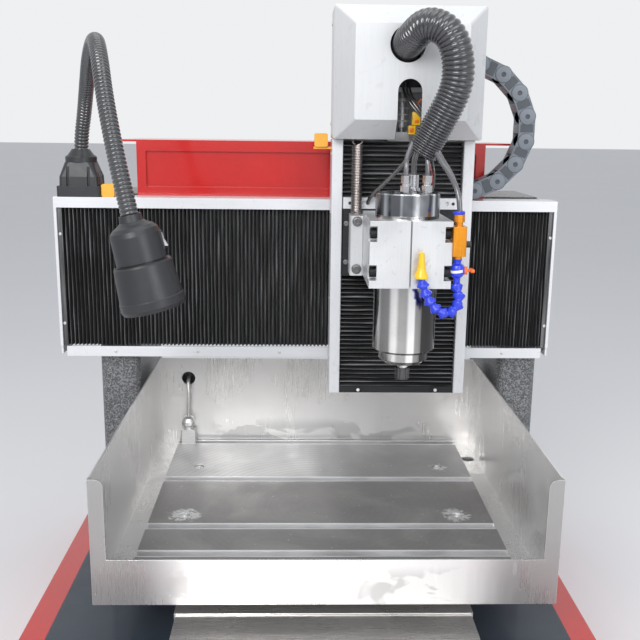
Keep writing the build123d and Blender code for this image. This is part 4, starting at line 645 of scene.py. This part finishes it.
# Machined aluminium of the clamp, lightly stained
f = Finish("machined_clamp", (0.74, 0.75, 0.76), 0.3, 0.0007, metal=0.75)
grain = f.noise(800, 3, (1, 1, 0.03))
f.tint(f.spread(grain, 0.4, 0.7), 0.8, 0.25)
f.cloud(14, 5, 0.45, 0.72, 0.72, 0.3, warp=0.6)
f.cloud(75, 5, 0.63, 0.7, (0.45, 0.36, 0.32), 0.35, warp=1.5)
f.edge_wear_and_highlight(0.001, grey(1), 0.6)
f.roughen(f.noise(20, 5), 0.22, 0.45)
f.relief(grain, 0.05, 0.0004)

# Woven sleeve of the setter's cable
f = Finish("armoured_sleeve", (0.8, 0.79, 0.77), 0.28, metal=0.8)
weave = f.cells(700)
f.tint(f.spread(weave, 0.2, 0.7), 0.5, 0.5)
f.cloud(60, 3, 0.45, 0.7, 0.7, 0.3)
f.roughen(f.noise(200, 3), 0.22, 0.5)
f.relief(weave, 0.5, 0.0004)

tube_finish("clear_tube", (0.115, 0.115, 0.125), 0, 0.15)
tube_finish("silver_tube", (0.16, 0.155, 0.155), 0.7, 0)
tube_finish("red_wire", (0.45, 0.02, 0.02), 0, 0.15)

# Ribbed lens of the lamp
f = Finish("lamp_lens", (0.75, 0.76, 0.78), 0.12, coat=0.6, clear=0.5)
ribs = f.cells(260)
f.tint(f.spread(ribs, 0.1, 0.6), (0.5, 0.5, 0.52), 0.4)
f.roughen(f.noise(80, 3), 0.1, 0.3)
f.relief(ribs, 0.6, 0.001)

# Pale floor, faintly clouded
f = Finish("studio_floor", grey(0.84), 0.8)
f.cloud(1.2, 3, 0.4, 0.7, grey(0.8), 0.3)


# CAD nodes keep their shapes and get these finishes

nodes_with = {
    "red_paint": "base_frame beam_top_box", "deck_paint": "deck_plates", "saddle_paint": "saddle",
    "casting_paint": "machine_bed column_left column_right gantry_beam carriage_casting",
    "guide_steel": "linear_rails y_bearings y_screw screw_supports", "x_guide_steel": "x_bearings x_screw",
    "z_guide_steel": "z_guides z_bearings z_screw", "white_frame_coat": "cover_frame",
    "white_column_coat": "z_column", "white_cover_coat": "head_cover",
    "black_anodised": "z_plate z_bottom_cap", "motor_paint": "axis_motors z_motor",
    "x_bellows_cloth": "x_bellows", "z_bellows_cloth": "z_bellows",
    "chain_plastic": "drag_chain", "tray_steel": "tray",
    "cover_steel": "way_cover_upper way_cover_front_2 way_cover_front_3 way_cover_rear_2 way_cover_rear_3 "
                   "way_cover_fixed",
    "milled_table": "table_plate", "machined_clamp": "spindle_clamp",
    "turned_steel": "spindle_body spindle_shaft", "bright_plate": "spindle_fittings",
    "nut_steel": "collet_nut", "bright_zinc": "tool_setter table_screws",
    "spring_steel": "balance_spring", "black_oxide": "clamp_bolts", "armoured_sleeve": "setter_cable",
    "hose_plastic": "corrugated_hose", "clear_tube": "spindle_tubes", "orange_brass": "coolant_block",
    "blue_plastic": "hose_base hose_middle hose_end", "yellow_plastic": "coolant_nozzle",
    "orange_plastic": "valve_handle", "sensor_plastic": "shelf_sensor carriage_sensor",
    "lamp_plastic": "lamp_base lamp_head lamp_gooseneck", "rocker_plastic": "lamp_switch",
}
for look, names in nodes_with.items():
    for name in names.split():
        mesh = nodes[name].data
        mesh.materials.clear()
        mesh.materials.append(looks[look])
        smooth(mesh, 28)


# A second finish, for the faces of a node past these places

strip_low, bracket_side, ring_low, knob_side, setter_rear = 0.6485, 0.0515, 0.6498, 0.16895, 0.2655
second_looks = (
    ("z_plate", "white_frame_coat", lambda place: place.z > strip_low),
    ("clamp_bolts", "dark_steel", lambda place: place.x < bracket_side),
    ("spindle_body", "turned_ring", lambda place: place.z > ring_low),
    ("coolant_block", "black_plastic", lambda place: place.x > knob_side),
    ("tool_setter", "black_plastic", lambda place: place.y > setter_rear),
)
for name, look, wanted in second_looks:
    obj = nodes[name]
    obj.data.materials.append(looks[look])
    for polygon in obj.data.polygons:
        if wanted(obj.matrix_world @ polygon.center):
            polygon.material_index = 1


def dress(obj, look, body):
    obj.data.materials.append(looks[look])
    if body:
        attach(obj, body)
    return obj


# Pleated covers, built in pieces


def share_travel(obj):
    """Bakes the piece's placement into its mesh."""
    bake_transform(obj)


# Places and depths of the points in a fold's profile
fold_shape = ((0, 0), (0.06, 0.015), (0.12, 0.07), (0.2, 0.25), (0.34, 0.62), (0.46, 0.94),
              (0.5, 1), (0.54, 0.94), (0.66, 0.62), (0.8, 0.25), (0.88, 0.07), (0.94, 0.015))
fold_rows = 26

# Each cover's span across its folds, front, depth and the bodies it joins
x_cover_low, x_cover_high, x_cover_front, x_fold_front = 438.5, 639.5, 121.6, 122.2
cover_sizes = {
    "x_bellows": ((x_cover_low, x_cover_high), x_fold_front, 12, "frame", "x_carriage"),
    "z_bellows": ((26.8, 187.2), 61.2, 11, "x_carriage", "z_head"),
}


def fold_points(fold, step, count, across, front, depth, begin, end):
    """Rows of points over a cover's folds: place along the run, Y and place along the fold."""
    stations = [(number, share, deep) for number in range(begin, end) for share, deep in fold_shape]
    stations.append((end, 0, 0))
    points = []
    for number, share, deep in stations:
        place = fold[0] + (number + share) * step
        at_rim = number in (0, count) and share == 0
        for row in range(fold_rows + 1):
            v = across[0] + (across[1] - across[0]) * row / fold_rows
            key = Vector((number * 7.31 + (0.5 if share > 0.5 else 0), v * 0.02, 3))
            edge = min(row, fold_rows - row) / 3
            sway = 0 if at_rim else noise.noise(key) * 0.9 * min(edge, 1)
            back = (0.5 + 0.5 * noise.noise(Vector((number * 3.17, v * 0.012, 9)))) * 1.6
            y = front + back * (1 - deep) + deep * (depth - 0.4)
            points.append((min(max(place + sway * step * 0.22, fold[0]), fold[1]), y, v))
    return points


def pleated(name, node, fold, pieces, pitch):
    """Pleated cover in pieces, between two places, with folds about the given pitch apart."""
    upright = node == "x_bellows"
    across, front, depth, fixed_body, moving_body = cover_sizes[node]
    run = fold[1] - fold[0]
    count = round(run / pitch)
    step = run / count
    ends = [round(count * k / pieces) for k in range(pieces + 1)]
    width = fold_rows + 1
    for number, (begin, end) in enumerate(zip(ends, ends[1:])):
        points = fold_points(fold, step, count, across, front, depth, begin, end)
        verts = [mm(u, y, v) if upright else mm(v, y, u) for u, y, v in points]
        faces = []
        for column in range(0, len(points) - width, width):
            for a in range(column, column + fold_rows):
                face = (a, a + 1, a + 1 + width, a + width)
                faces.append(face if upright else tuple(reversed(face)))
        piece = new_object(f"{name}_{number + 1}", verts, faces, 80)
        dress(piece, node + "_cloth", None)
        share_travel(piece)
        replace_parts(piece, node)


pleated("x_bellows_left", "x_bellows", (-376.5, 19.5), 12, 5.6)
pleated("x_bellows_right", "x_bellows", (194.5, 334.5), 8, 4.6)
pleated("z_bellows_low", "z_bellows", (396.5, 555.5), 8, 6.2)
pleated("z_bellows_high", "z_bellows", (663.5, 737.8), 6, 6.2)


# Energy chain: its pivots follow a lower run, a half circle and an upper run

chain_x, chain_radius, chain_fixed, chain_moving = 200, 89.5, 45, 150
chain_front, chain_width, chain_height, link_pitch = 122, 34, 25, 35
shelf_top = 655
chain_z = shelf_top + chain_height / 2 - 0.7 + chain_radius
chain_sides = ((chain_front, 1), (chain_front + chain_width, -1))


def chain_place(distance):
    lower = chain_x - chain_fixed
    arc = math.pi * chain_radius
    if distance < lower:
        return chain_fixed + distance, chain_z - chain_radius
    if distance < lower + arc:
        angle = (distance - lower) / chain_radius
        return chain_x + chain_radius * math.sin(angle), chain_z - chain_radius * math.cos(angle)
    return chain_x - (distance - lower - arc), chain_z + chain_radius


def arc_points(centre, radius, first, last, parts):
    turns = [first + (last - first) * i / parts for i in range(parts + 1)]
    return [(centre + radius * math.cos(turn), radius * math.sin(turn)) for turn in turns]


def disc(centre, radius):
    return arc_points(centre, radius, 0, 2 * math.pi, 28)[:-1]


def oblong(low, high):
    return [low, (high[0], low[1]), high, (low[0], high[1])]


def side_plates(outline, first, last, bevel, segments=2):
    """The same plate at both sides of the chain, between two depths from its faces."""
    plates = []
    for side, inward in chain_sides:
        low, high = sorted((side + inward * first, side + inward * last))
        plates.append(plate_outline("plate", outline, low, high, bevel, segments))
    return plates


def chain_link(start, end):
    """Link, pins, a dark panel on each side and a dark ring of painted shade round each boss, between two
    pivots.
    """
    dx, dz = end[0] - start[0], end[1] - start[1]
    half = math.hypot(dx, dz) / 2
    radius = chain_height / 2 - 1
    capsule = (arc_points(-half, radius, math.pi / 2, math.pi * 1.5, 14)
               + arc_points(half, radius, -math.pi / 2, math.pi / 2, 14))
    link = side_plates(capsule, 0.9, 3.4, 0.5) + side_plates(disc(-half, radius - 0.3), 0, 1.2, 0.4)
    for edge in (radius - 1.4, -radius + 0.2):
        link += side_plates(oblong((-half + 9, edge), (half - 9, edge + 1.2)), 0.1, 1.2, 0.25, 1)
    back = chain_front + chain_width
    for low, high in ((-radius, -radius + 2.2), (radius - 2.2, radius)):
        link.append(block("bar", (-6, chain_front + 3, low), (6, back - 3, high), 0.5))
    pin = [(3.4, 0), (3.4, 0.25), (3, 0.4), (2.2, 0.4), (1.9, 0.1), (0.02, 0.05)]
    pins = [lathe("pin", pin, (-half, side + inward * 0.05, 0), (0, -inward, 0), 20)
            for side, inward in chain_sides]
    # A dark panel on each side, and round each boss a dark ring, painted shade of the groove there
    panels_and_shade_rings = (side_plates(oblong((-4.5, -radius + 2.4), (6.5, radius - 2.4)), 0.6, 1.4, 0.3, 1)
              + side_plates(disc(-half, radius + 0.45), 0.55, 0.95, 0.1, 1))
    turn = Matrix.Rotation(-math.atan2(dz, dx), 4, "Y")
    place = Matrix.Translation(mm((start[0] + end[0]) / 2, 0, (start[1] + end[1]) / 2))
    made = [join_objects("link", parts) for parts in (link, pins, panels_and_shade_rings)]
    for piece in made:
        piece.data.transform(place @ turn)
    return made


chain_length = 2 * chain_x - chain_fixed - chain_moving + math.pi * chain_radius
link_count = round(chain_length / link_pitch)
pivots = [chain_place(chain_length * index / link_count) for index in range(link_count + 1)]
chain_parts = zip(*(chain_link(start, end) for start, end in zip(pivots, pivots[1:])))
chain_looks = (("chain_links", "chain_plastic"), ("chain_pins", "chain_panel"),
               ("chain_panels_and_shade_rings", "chain_panel"))
for (name, look), parts in zip(chain_looks, chain_parts):
    piece = dress(join_objects(name, parts), look, None)
    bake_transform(piece)
    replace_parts(piece, "drag_chain")


# Corrugated hose, a black lining and plug of painted shade inside its lower end, and what comes out of it


def corrugated(name, route, sides, outer, groove, end_pitch, bend_pitch):
    """Ribbed sleeve along a route: round crests with narrow grooves, which spread in its bend."""
    rings = ((0, 1), (0.1, 0.62), (0.24, 0.22), (0.4, 0.02), (0.56, 0), (0.72, 0.16), (0.88, 0.58))
    line = nurbs_line(route, 40)
    total = distances_of(line)[-1]
    distances = []
    radii = []
    d = 0
    while d < total:
        pitch = end_pitch + (bend_pitch - end_pitch) * math.sin(math.pi * d / total) ** 2
        for share, deep in rings:
            if d + share * pitch < total:
                distances.append(d + share * pitch)
                radii.append(outer - groove * deep)
        d += pitch
    distances.append(total)
    radii.append(outer - groove)
    piece = tube(name, line, radii, distances, sides, caps=False, angle=85)
    return dress(piece, "hose_plastic", None)


hose_route = ((103, 27, 858), (103, -8, 862), (120, -36, 880), (149, -50, 864), (160, -46, 818),
              (147, -36, 776), (118.5, -26, 724))
hose = corrugated("corrugated_hose_skin", hose_route, 56, outer=0.0199, groove=0.0018,
                  end_pitch=0.003, bend_pitch=0.0062)
# Black lining and plug inside the hose's lower end: painted shade of its bore
inside_line = nurbs_line(((137.5, -32.6, 758.5), (128, -29.2, 741), (118.5, -26, 724.2)), 12)
inside = tube("hose_shade_lining", inside_line, 0.0181, sides=40, caps=False)
end_line = nurbs_line(((139.3, -33.2, 761.8), (137.5, -32.6, 758.5)), 4)
inside_end = tube("hose_shade_plug", end_line, 0.018, sides=40)
for piece in (inside, inside_end):
    dress(piece, "black_plastic", None)
for piece in (hose, inside, inside_end):
    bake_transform(piece)
    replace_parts(piece, "corrugated_hose")


def soft_tube(name, look, radius, points, body, slot):
    piece = tube(name, nurbs_line(points, 20), radius * 0.001, sides=16)
    return dress(piece, look, body)


for name, look, radius, points in (
    ("water_tube_left", "clear_tube", 3.1,
     [(97.5, -52, 698), (97.5, -52, 712), (99, -44, 722), (108, -32, 738)]),
    ("water_tube_right", "clear_tube", 3.1,
     [(125.5, -41, 698), (125.5, -41, 712), (124.5, -36, 724), (126, -31, 740)]),
    ("spindle_cable", "silver_tube", 3.7,
     [(110.5, -23, 698), (110.5, -23, 712), (112, -24, 722), (117, -26, 738)]),
    ("coolant_tube", "clear_tube", 3.3,
     [(160.7, -78, 653), (160.7, -78, 672), (152, -64, 698), (137, -42, 720), (130, -32, 738)]),
    ("second_tube", "clear_tube", 2.2,
     [(160.7, -72, 655), (160.7, -70, 674), (154, -58, 700), (141, -40, 722), (133, -33, 740)]),
    ("plate_wire", "red_wire", 1,
     [(146, 52.5, 656), (146, 46, 668), (142, 20, 692), (131, -10, 716), (124, -24, 738)]),
    ("air_tube", "silver_tube", 2.6,
     [(60, 52.5, 656), (61, 46, 664), (76, 22, 682), (97, -6, 706), (112, -24, 732)]),
    ("thin_wire", "silver_tube", 1.2,
     [(134, -30, 678), (137, -30, 690), (134, -30, 712), (127, -29, 738)]),
):
    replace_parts(soft_tube(name, look, radius, points, "z_head", "tubing"), "spindle_tubes")
fitting_profile = [(6.6, 0), (7.3, 0.4), (7.3, 3.2), (6.9, 3.7), (3.9, 3.9)]
fitting = lathe("tube_fitting", fitting_profile, (159.9, -78, 654.2), (-0.05, 0, 1), 40)
dress(fitting, "blue_plastic", "z_head")


# Counterbalance spring


def dense_tube(points, radius, sides):
    """Tube with a ring at every point of its line."""
    return tube("wire", points, radius * 0.001, distances_of(points), sides, angle=80)


def spring_pieces():
    low, high, x, y = 642.3, 744, 44, 46
    wire, radius, turns, steps = 0.85, 6.6, 42, 20
    coil_low, coil_high = low + 2.4, high - 12
    points = []
    for i in range(turns * steps + 1):
        turn = 2 * math.pi * i / steps
        z = coil_low + (coil_high - coil_low) * i / (turns * steps)
        points.append(mm(x + radius * math.cos(turn), y + radius * math.sin(turn), z))
    parts = [dense_tube(points, wire, 8)]
    for base, sign, reach in ((coil_low, -1, 2), (coil_high, 1, 11)):
        ring = []
        for k in range(25):
            turn = -math.pi / 2 + 2 * math.pi * k / 24 * 0.92
            ring.append(mm(x + (radius - 0.4) * math.cos(turn), y,
                           base + sign * (reach * 0.5 + reach * 0.45 * math.sin(turn))))
        parts.append(dense_tube(ring, wire * 1.4, 10))
    return join_objects("balance_spring_coil", parts)


spring = dress(spring_pieces(), "spring_steel", None)
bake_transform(spring)
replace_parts(spring, "balance_spring")


# Gooseneck lamp

gooseneck_route = ((-344, 145, 704), (-342.5, 144, 735), (-335, 137, 768), (-323, 108, 806),
                   (-304, 50, 842), (-279, -22, 859), (-264, -72, 832), (-254, -102, 790),
                   (-242.5, -126, 745), (-231, -144, 700), (-218, -158, 652))
neck = corrugated("gooseneck_sleeve", gooseneck_route, 36, outer=0.0102, groove=0.0013,
                  end_pitch=0.0049, bend_pitch=0.0049)
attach(neck, "frame")
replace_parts(neck, "lamp_gooseneck")

lens_profile = [(0.05, 97.4), (16, 97.9), (27, 98.6), (33.4, 99.4), (33.4, 100.8), (27, 100.2), (16, 99.6),
                (0.05, 99.2)]
lens = lathe("lamp_lens", lens_profile, gooseneck_route[-1], (0.23, 0, -1), 72)
dress(lens, "lamp_lens", "frame")


# Coupling, plug and wires behind the head cover's slot

coupling_profile = [(6.4, 0), (9.1, 0), (9.5, 0.4), (9.5, 11.2), (8.8, 11.6), (8.8, 12.4), (9.5, 12.8),
                    (9.5, 22.2), (8.8, 22.6), (8.8, 23.4), (9.5, 23.8), (9.5, 34.6), (9.1, 35), (6.4, 35)]
z_screw_x = 107
coupling = lathe("z_coupling", coupling_profile, (z_screw_x, 92, 760), (0, 0, 1), 40)
dress(coupling, "bright_alloy", "z_screw")
# Black dished discs in the coupling's small holes: painted shade
hole = [(1.9, 0), (1.9, 0.25), (1.5, 0.3), (1.3, 0.1), (0.02, 0.1)]
coupling_holes = [lathe("hole", hole, (z_screw_x, 82.6, z), (0, -1, 0), 16) for z in (766, 777.5, 789)]
dress(join_objects("coupling_hole_shade", coupling_holes), "black_plastic", "z_screw")
plugs = (
    ("head_plug", "yellow_plastic", 0.8,
     (((116, 50, 759), (127, 62, 776)), ((111.5, 51, 747), (121, 61, 758.4)))),
    ("head_plug_tabs", "orange_plastic", 0.4,
     (((113, 49.2, 750), (118, 50.6, 755)), ((119, 49, 762), (124.5, 50.4, 766)))),
)
for name, look, bevel, corners in plugs:
    parts = [block("plug", low, high, bevel) for low, high in corners]
    dress(join_objects(name, parts), look, "x_carriage")
head_wires = (
    ("silver_tube", 1.7, [(101, 64, 826), (103, 60, 806), (110, 53, 790), (121, 48, 777), (129, 47, 768)]),
    ("silver_tube", 1.5, [(106, 64, 826), (107, 59, 806), (114, 51, 791), (124, 46, 778), (131, 45, 769)]),
    ("black_plastic", 1.3, [(110, 64, 826), (111, 58, 806), (118, 50, 792), (127, 44, 780), (133, 43, 771)]),
    ("orange_plastic", 1.1, [(119, 56, 781), (122, 55, 786), (126, 54, 791), (131, 54, 795)]),
)
for number, wire in enumerate(head_wires):
    soft_tube(f"head_wire_{number + 1}", *wire, "x_carriage", "motor")


# Ball-jointed coolant hose with its valve

valve_x, valve_y, hose_plane = 160.7, -78, -94.6
hose_curve = ((154.4, 537.6), (143.7, 535.4), (134.1, 540.4), (126.8, 548.8), (121.4, 558.5), (117.4, 569),
              (114.5, 579.8))
hose_points = ((valve_x, valve_y, 566), (163.1, -84.6, 556.4), (161.6, -90.2, 546.4),
               *((x, hose_plane, z) for x, z in hose_curve))
ball_size, socket_size, neck_size, tip_ball = 5.4, 5.75, 4.1, 4.2


def ball_outline(centre, ball):
    """Profile of a ball, from the neck that carries it to its flat end."""
    first = math.asin(neck_size / ball)
    last = math.radians(150)
    turns = [first + (last - first) * step / 9 for step in range(10)]
    return [(ball * math.sin(turn), centre - ball * math.cos(turn)) for turn in turns]


def hose_link(start, end, ball):
    """Cup with an open socket at its start, which narrows to the ball at its end."""
    reach = Vector(end) - Vector(start)
    turns = [math.radians(angle) for angle in (0.5, 25, 50, 72)]
    profile = [(socket_size * math.sin(turn), socket_size * math.cos(turn)) for turn in turns]
    profile += [(socket_size, 0), (socket_size, -0.2), (7.45, -0.2), (7.7, 0.05), (7.7, 1.4), (7.5, 1.8),
                (4.5, reach.length - 5.2), (4.15, reach.length - 4.4)]
    return lathe("link", profile + ball_outline(reach.length, ball), start, reach, 40)


valve_profile = [(5.4, 0), (5.4, 1.4), (5, 1.8), (4.4, 2.6), (4.4, 5.2), (7.2, 7.2), (7.75, 7.9),
                 (7.75, 19.6), (7.3, 20.4), (5, 23), (4.3, 24), (4.15, 29.4)]
valve_profile += ball_outline(34, ball_size)
valve = [lathe("valve", valve_profile, (valve_x, valve_y, 600), (0, 0, -1), 48),
         lathe("boss", [(5.4, 0), (5.4, 1.8), (5, 2.2)], (166.6, valve_y, 586), (1, 0, 0), 32)]
links = [hose_link(start, end, tip_ball if end == hose_points[-1] else ball_size)
         for start, end in zip(hose_points, hose_points[1:])]
for name, parts, body, node in (("valve_and_links", valve + links[:2], "z_head", "hose_base"),
                                ("lower_links", links[2:6], "hose_middle", "hose_middle"),
                                ("upper_links", links[6:], "hose_end", "hose_end")):
    piece = dress(join_objects(name, parts), "blue_plastic", body)
    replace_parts(piece, node)
band_profile = [(7.2, 0), (7.95, 0), (8.05, 0.3), (8.05, 3), (7.95, 3.3), (7.2, 3.3)]
valve_band = lathe("valve_band", band_profile, (160.9, valve_y, 583.6), (-0.12, 0, 1), 40)
dress(valve_band, "white_plastic", "z_head")


# Dark screws of the spindle plate, and black discs of painted shade in its holes

plate_front = 54
# Thin black discs on the plate: painted shade in its holes
hole = [(2.2, 0), (2.2, 0.12), (0.02, 0.12)]
plate_parts = (
    ("plate_screws", "dark_steel", [socket_screw((31.5, plate_front, z), 3.4, 2.2) for z in (628, 575.2)]),
    ("bracket_screws", "dark_steel", [socket_screw((43.75, 12, z), 5.4, 1.8) for z in (572, 635)]),
    ("plate_hole_shade", "black_plastic",
     [lathe("hole", hole, (x, plate_front, 655.5), (0, -1, 0), 20) for x in (36, 60, 145, 176)]),
)
for name, look, parts in plate_parts:
    dress(join_objects(name, parts), look, "z_head")


# Strips at the ends of the X cover, and small screws

for name, low, high in (("x_cover_strip_left", -376.6, -369.6), ("x_cover_strip_right", 327.8, 334.6)):
    strip = block(name, (low, x_cover_front, x_cover_low), (high, x_cover_front + 1.2, x_cover_high), 0.3)
    dress(strip, "x_bellows_cloth", "frame")

front, left, right = (0, -1, 0), (-1, 0, 0), (1, 0, 0)
cap_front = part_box("z_bottom_cap")[0].y * 1000
zinc = ("zinc_steel", "guide_steel")
white = ("white_plastic", "white_cover")
screws = [("frame", (x, x_cover_front, z), front, 2.6, 1.2, zinc)
          for z in (471.5, 602) for x in (-373.2, 331.6)]
screws += [("frame", (x, 118, 430.5), front, 2.2, 1, zinc) for x in (-300, -180, -60, 270)]
screws += [("x_carriage", (x, cap_front, 391.5), front, 2.4, 1.1, white) for x in (52.6, 162.7)]
for y, right_x, heights in ((80, 203, (405, 520, 640, 720)), (100, 207, (760, 890))):
    for z in heights:
        for x, direction in ((11, left), (right_x, right)):
            screws.append(("x_carriage", (x, y, z), direction, 2.6, 1.2, zinc))
for number, (body, place, direction, radius, height, (look, slot)) in enumerate(screws):
    dress(pan_screw(f"cover_screw_{number + 1}", place, direction, radius, height), look, body)


# Floor, light and camera

floor_z = -0.0004
floor_corners = [(x, y, floor_z) for x, y in ((-40, -40), (40, -40), (40, 40), (-40, 40))]
floor = new_object("studio_floor", floor_corners, [(0, 1, 2, 3)], 40)
floor.data.materials.append(looks["studio_floor"])

world = bpy.data.worlds.new("studio")
scene.world = world
world.use_nodes = True
tree = world.node_tree
tree.nodes.clear()
seen = add_node(tree, "Background", {"Color": (0.86, 0.87, 0.88, 1), "Strength": 1})
ambient = add_node(tree, "Background", {"Color": (0.9, 0.93, 1, 1), "Strength": 0.56})
rays = add_node(tree, "LightPath")
seen_by = rays.outputs["Is Camera Ray"]
for kind in ("Is Glossy Ray", "Is Transmission Ray"):
    seen_by = add_node(tree, "Math", {0: seen_by, 1: rays.outputs[kind]}, operation="MAXIMUM").outputs[0]
mixer = add_node(tree, "MixShader", {0: seen_by, 1: ambient.outputs[0], 2: seen.outputs[0]})
add_node(tree, "OutputWorld", {"Surface": mixer.outputs[0]})

lights = (
    ("key_light", (-0.9, -2.4, 1.9), (0, 0, 0.45), (1.5, 1.1), 52, (1, 1, 1)),
    ("fill_light", (1.5, -2.2, 1.3), (0, 0, 0.45), (1.2, 1.2), 22, (0.97, 0.98, 1)),
    ("top_light", (0, -0.2, 2.7), (0, 0, 0.3), (1.8, 1.2), 12, (1, 1, 1)),
)
for name, place, target, size, power, colour in lights:
    light = bpy.data.lights.new(name, "AREA")
    light.shape = "RECTANGLE"
    light.size, light.size_y = size
    light.energy = power
    light.color = colour
    holder = placed(name, light)
    holder.location = place
    holder.rotation_euler = (Vector(target) - Vector(place)).to_track_quat("-Z", "Y").to_euler()

# Camera, fitted to the photograph
focal_pixels, photo_pixels, sensor = 860, 640, 36
camera_place = (-0.034, -1.112, 0.752)
pitch, yaw, roll = -0.218, 0.027, 0.012
camera_data = bpy.data.cameras.new("photo_camera")
camera_data.sensor_fit = "HORIZONTAL"
camera_data.sensor_width = sensor
camera_data.lens = focal_pixels / photo_pixels * sensor
camera_data.clip_start = 0.01
camera = placed("photo_camera", camera_data)
forward = Vector((math.sin(yaw) * math.cos(pitch), math.cos(yaw) * math.cos(pitch), math.sin(pitch)))
level = forward.cross(Vector((0, 0, 1))).normalized()
upright = level.cross(forward)
across = level * math.cos(roll) + upright * math.sin(roll)
up = upright * math.cos(roll) - level * math.sin(roll)
camera.matrix_world = Matrix((*zip(across, up, -forward, camera_place), (0, 0, 0, 1)))
scene.camera = camera
scene.view_settings.view_transform = "Standard"
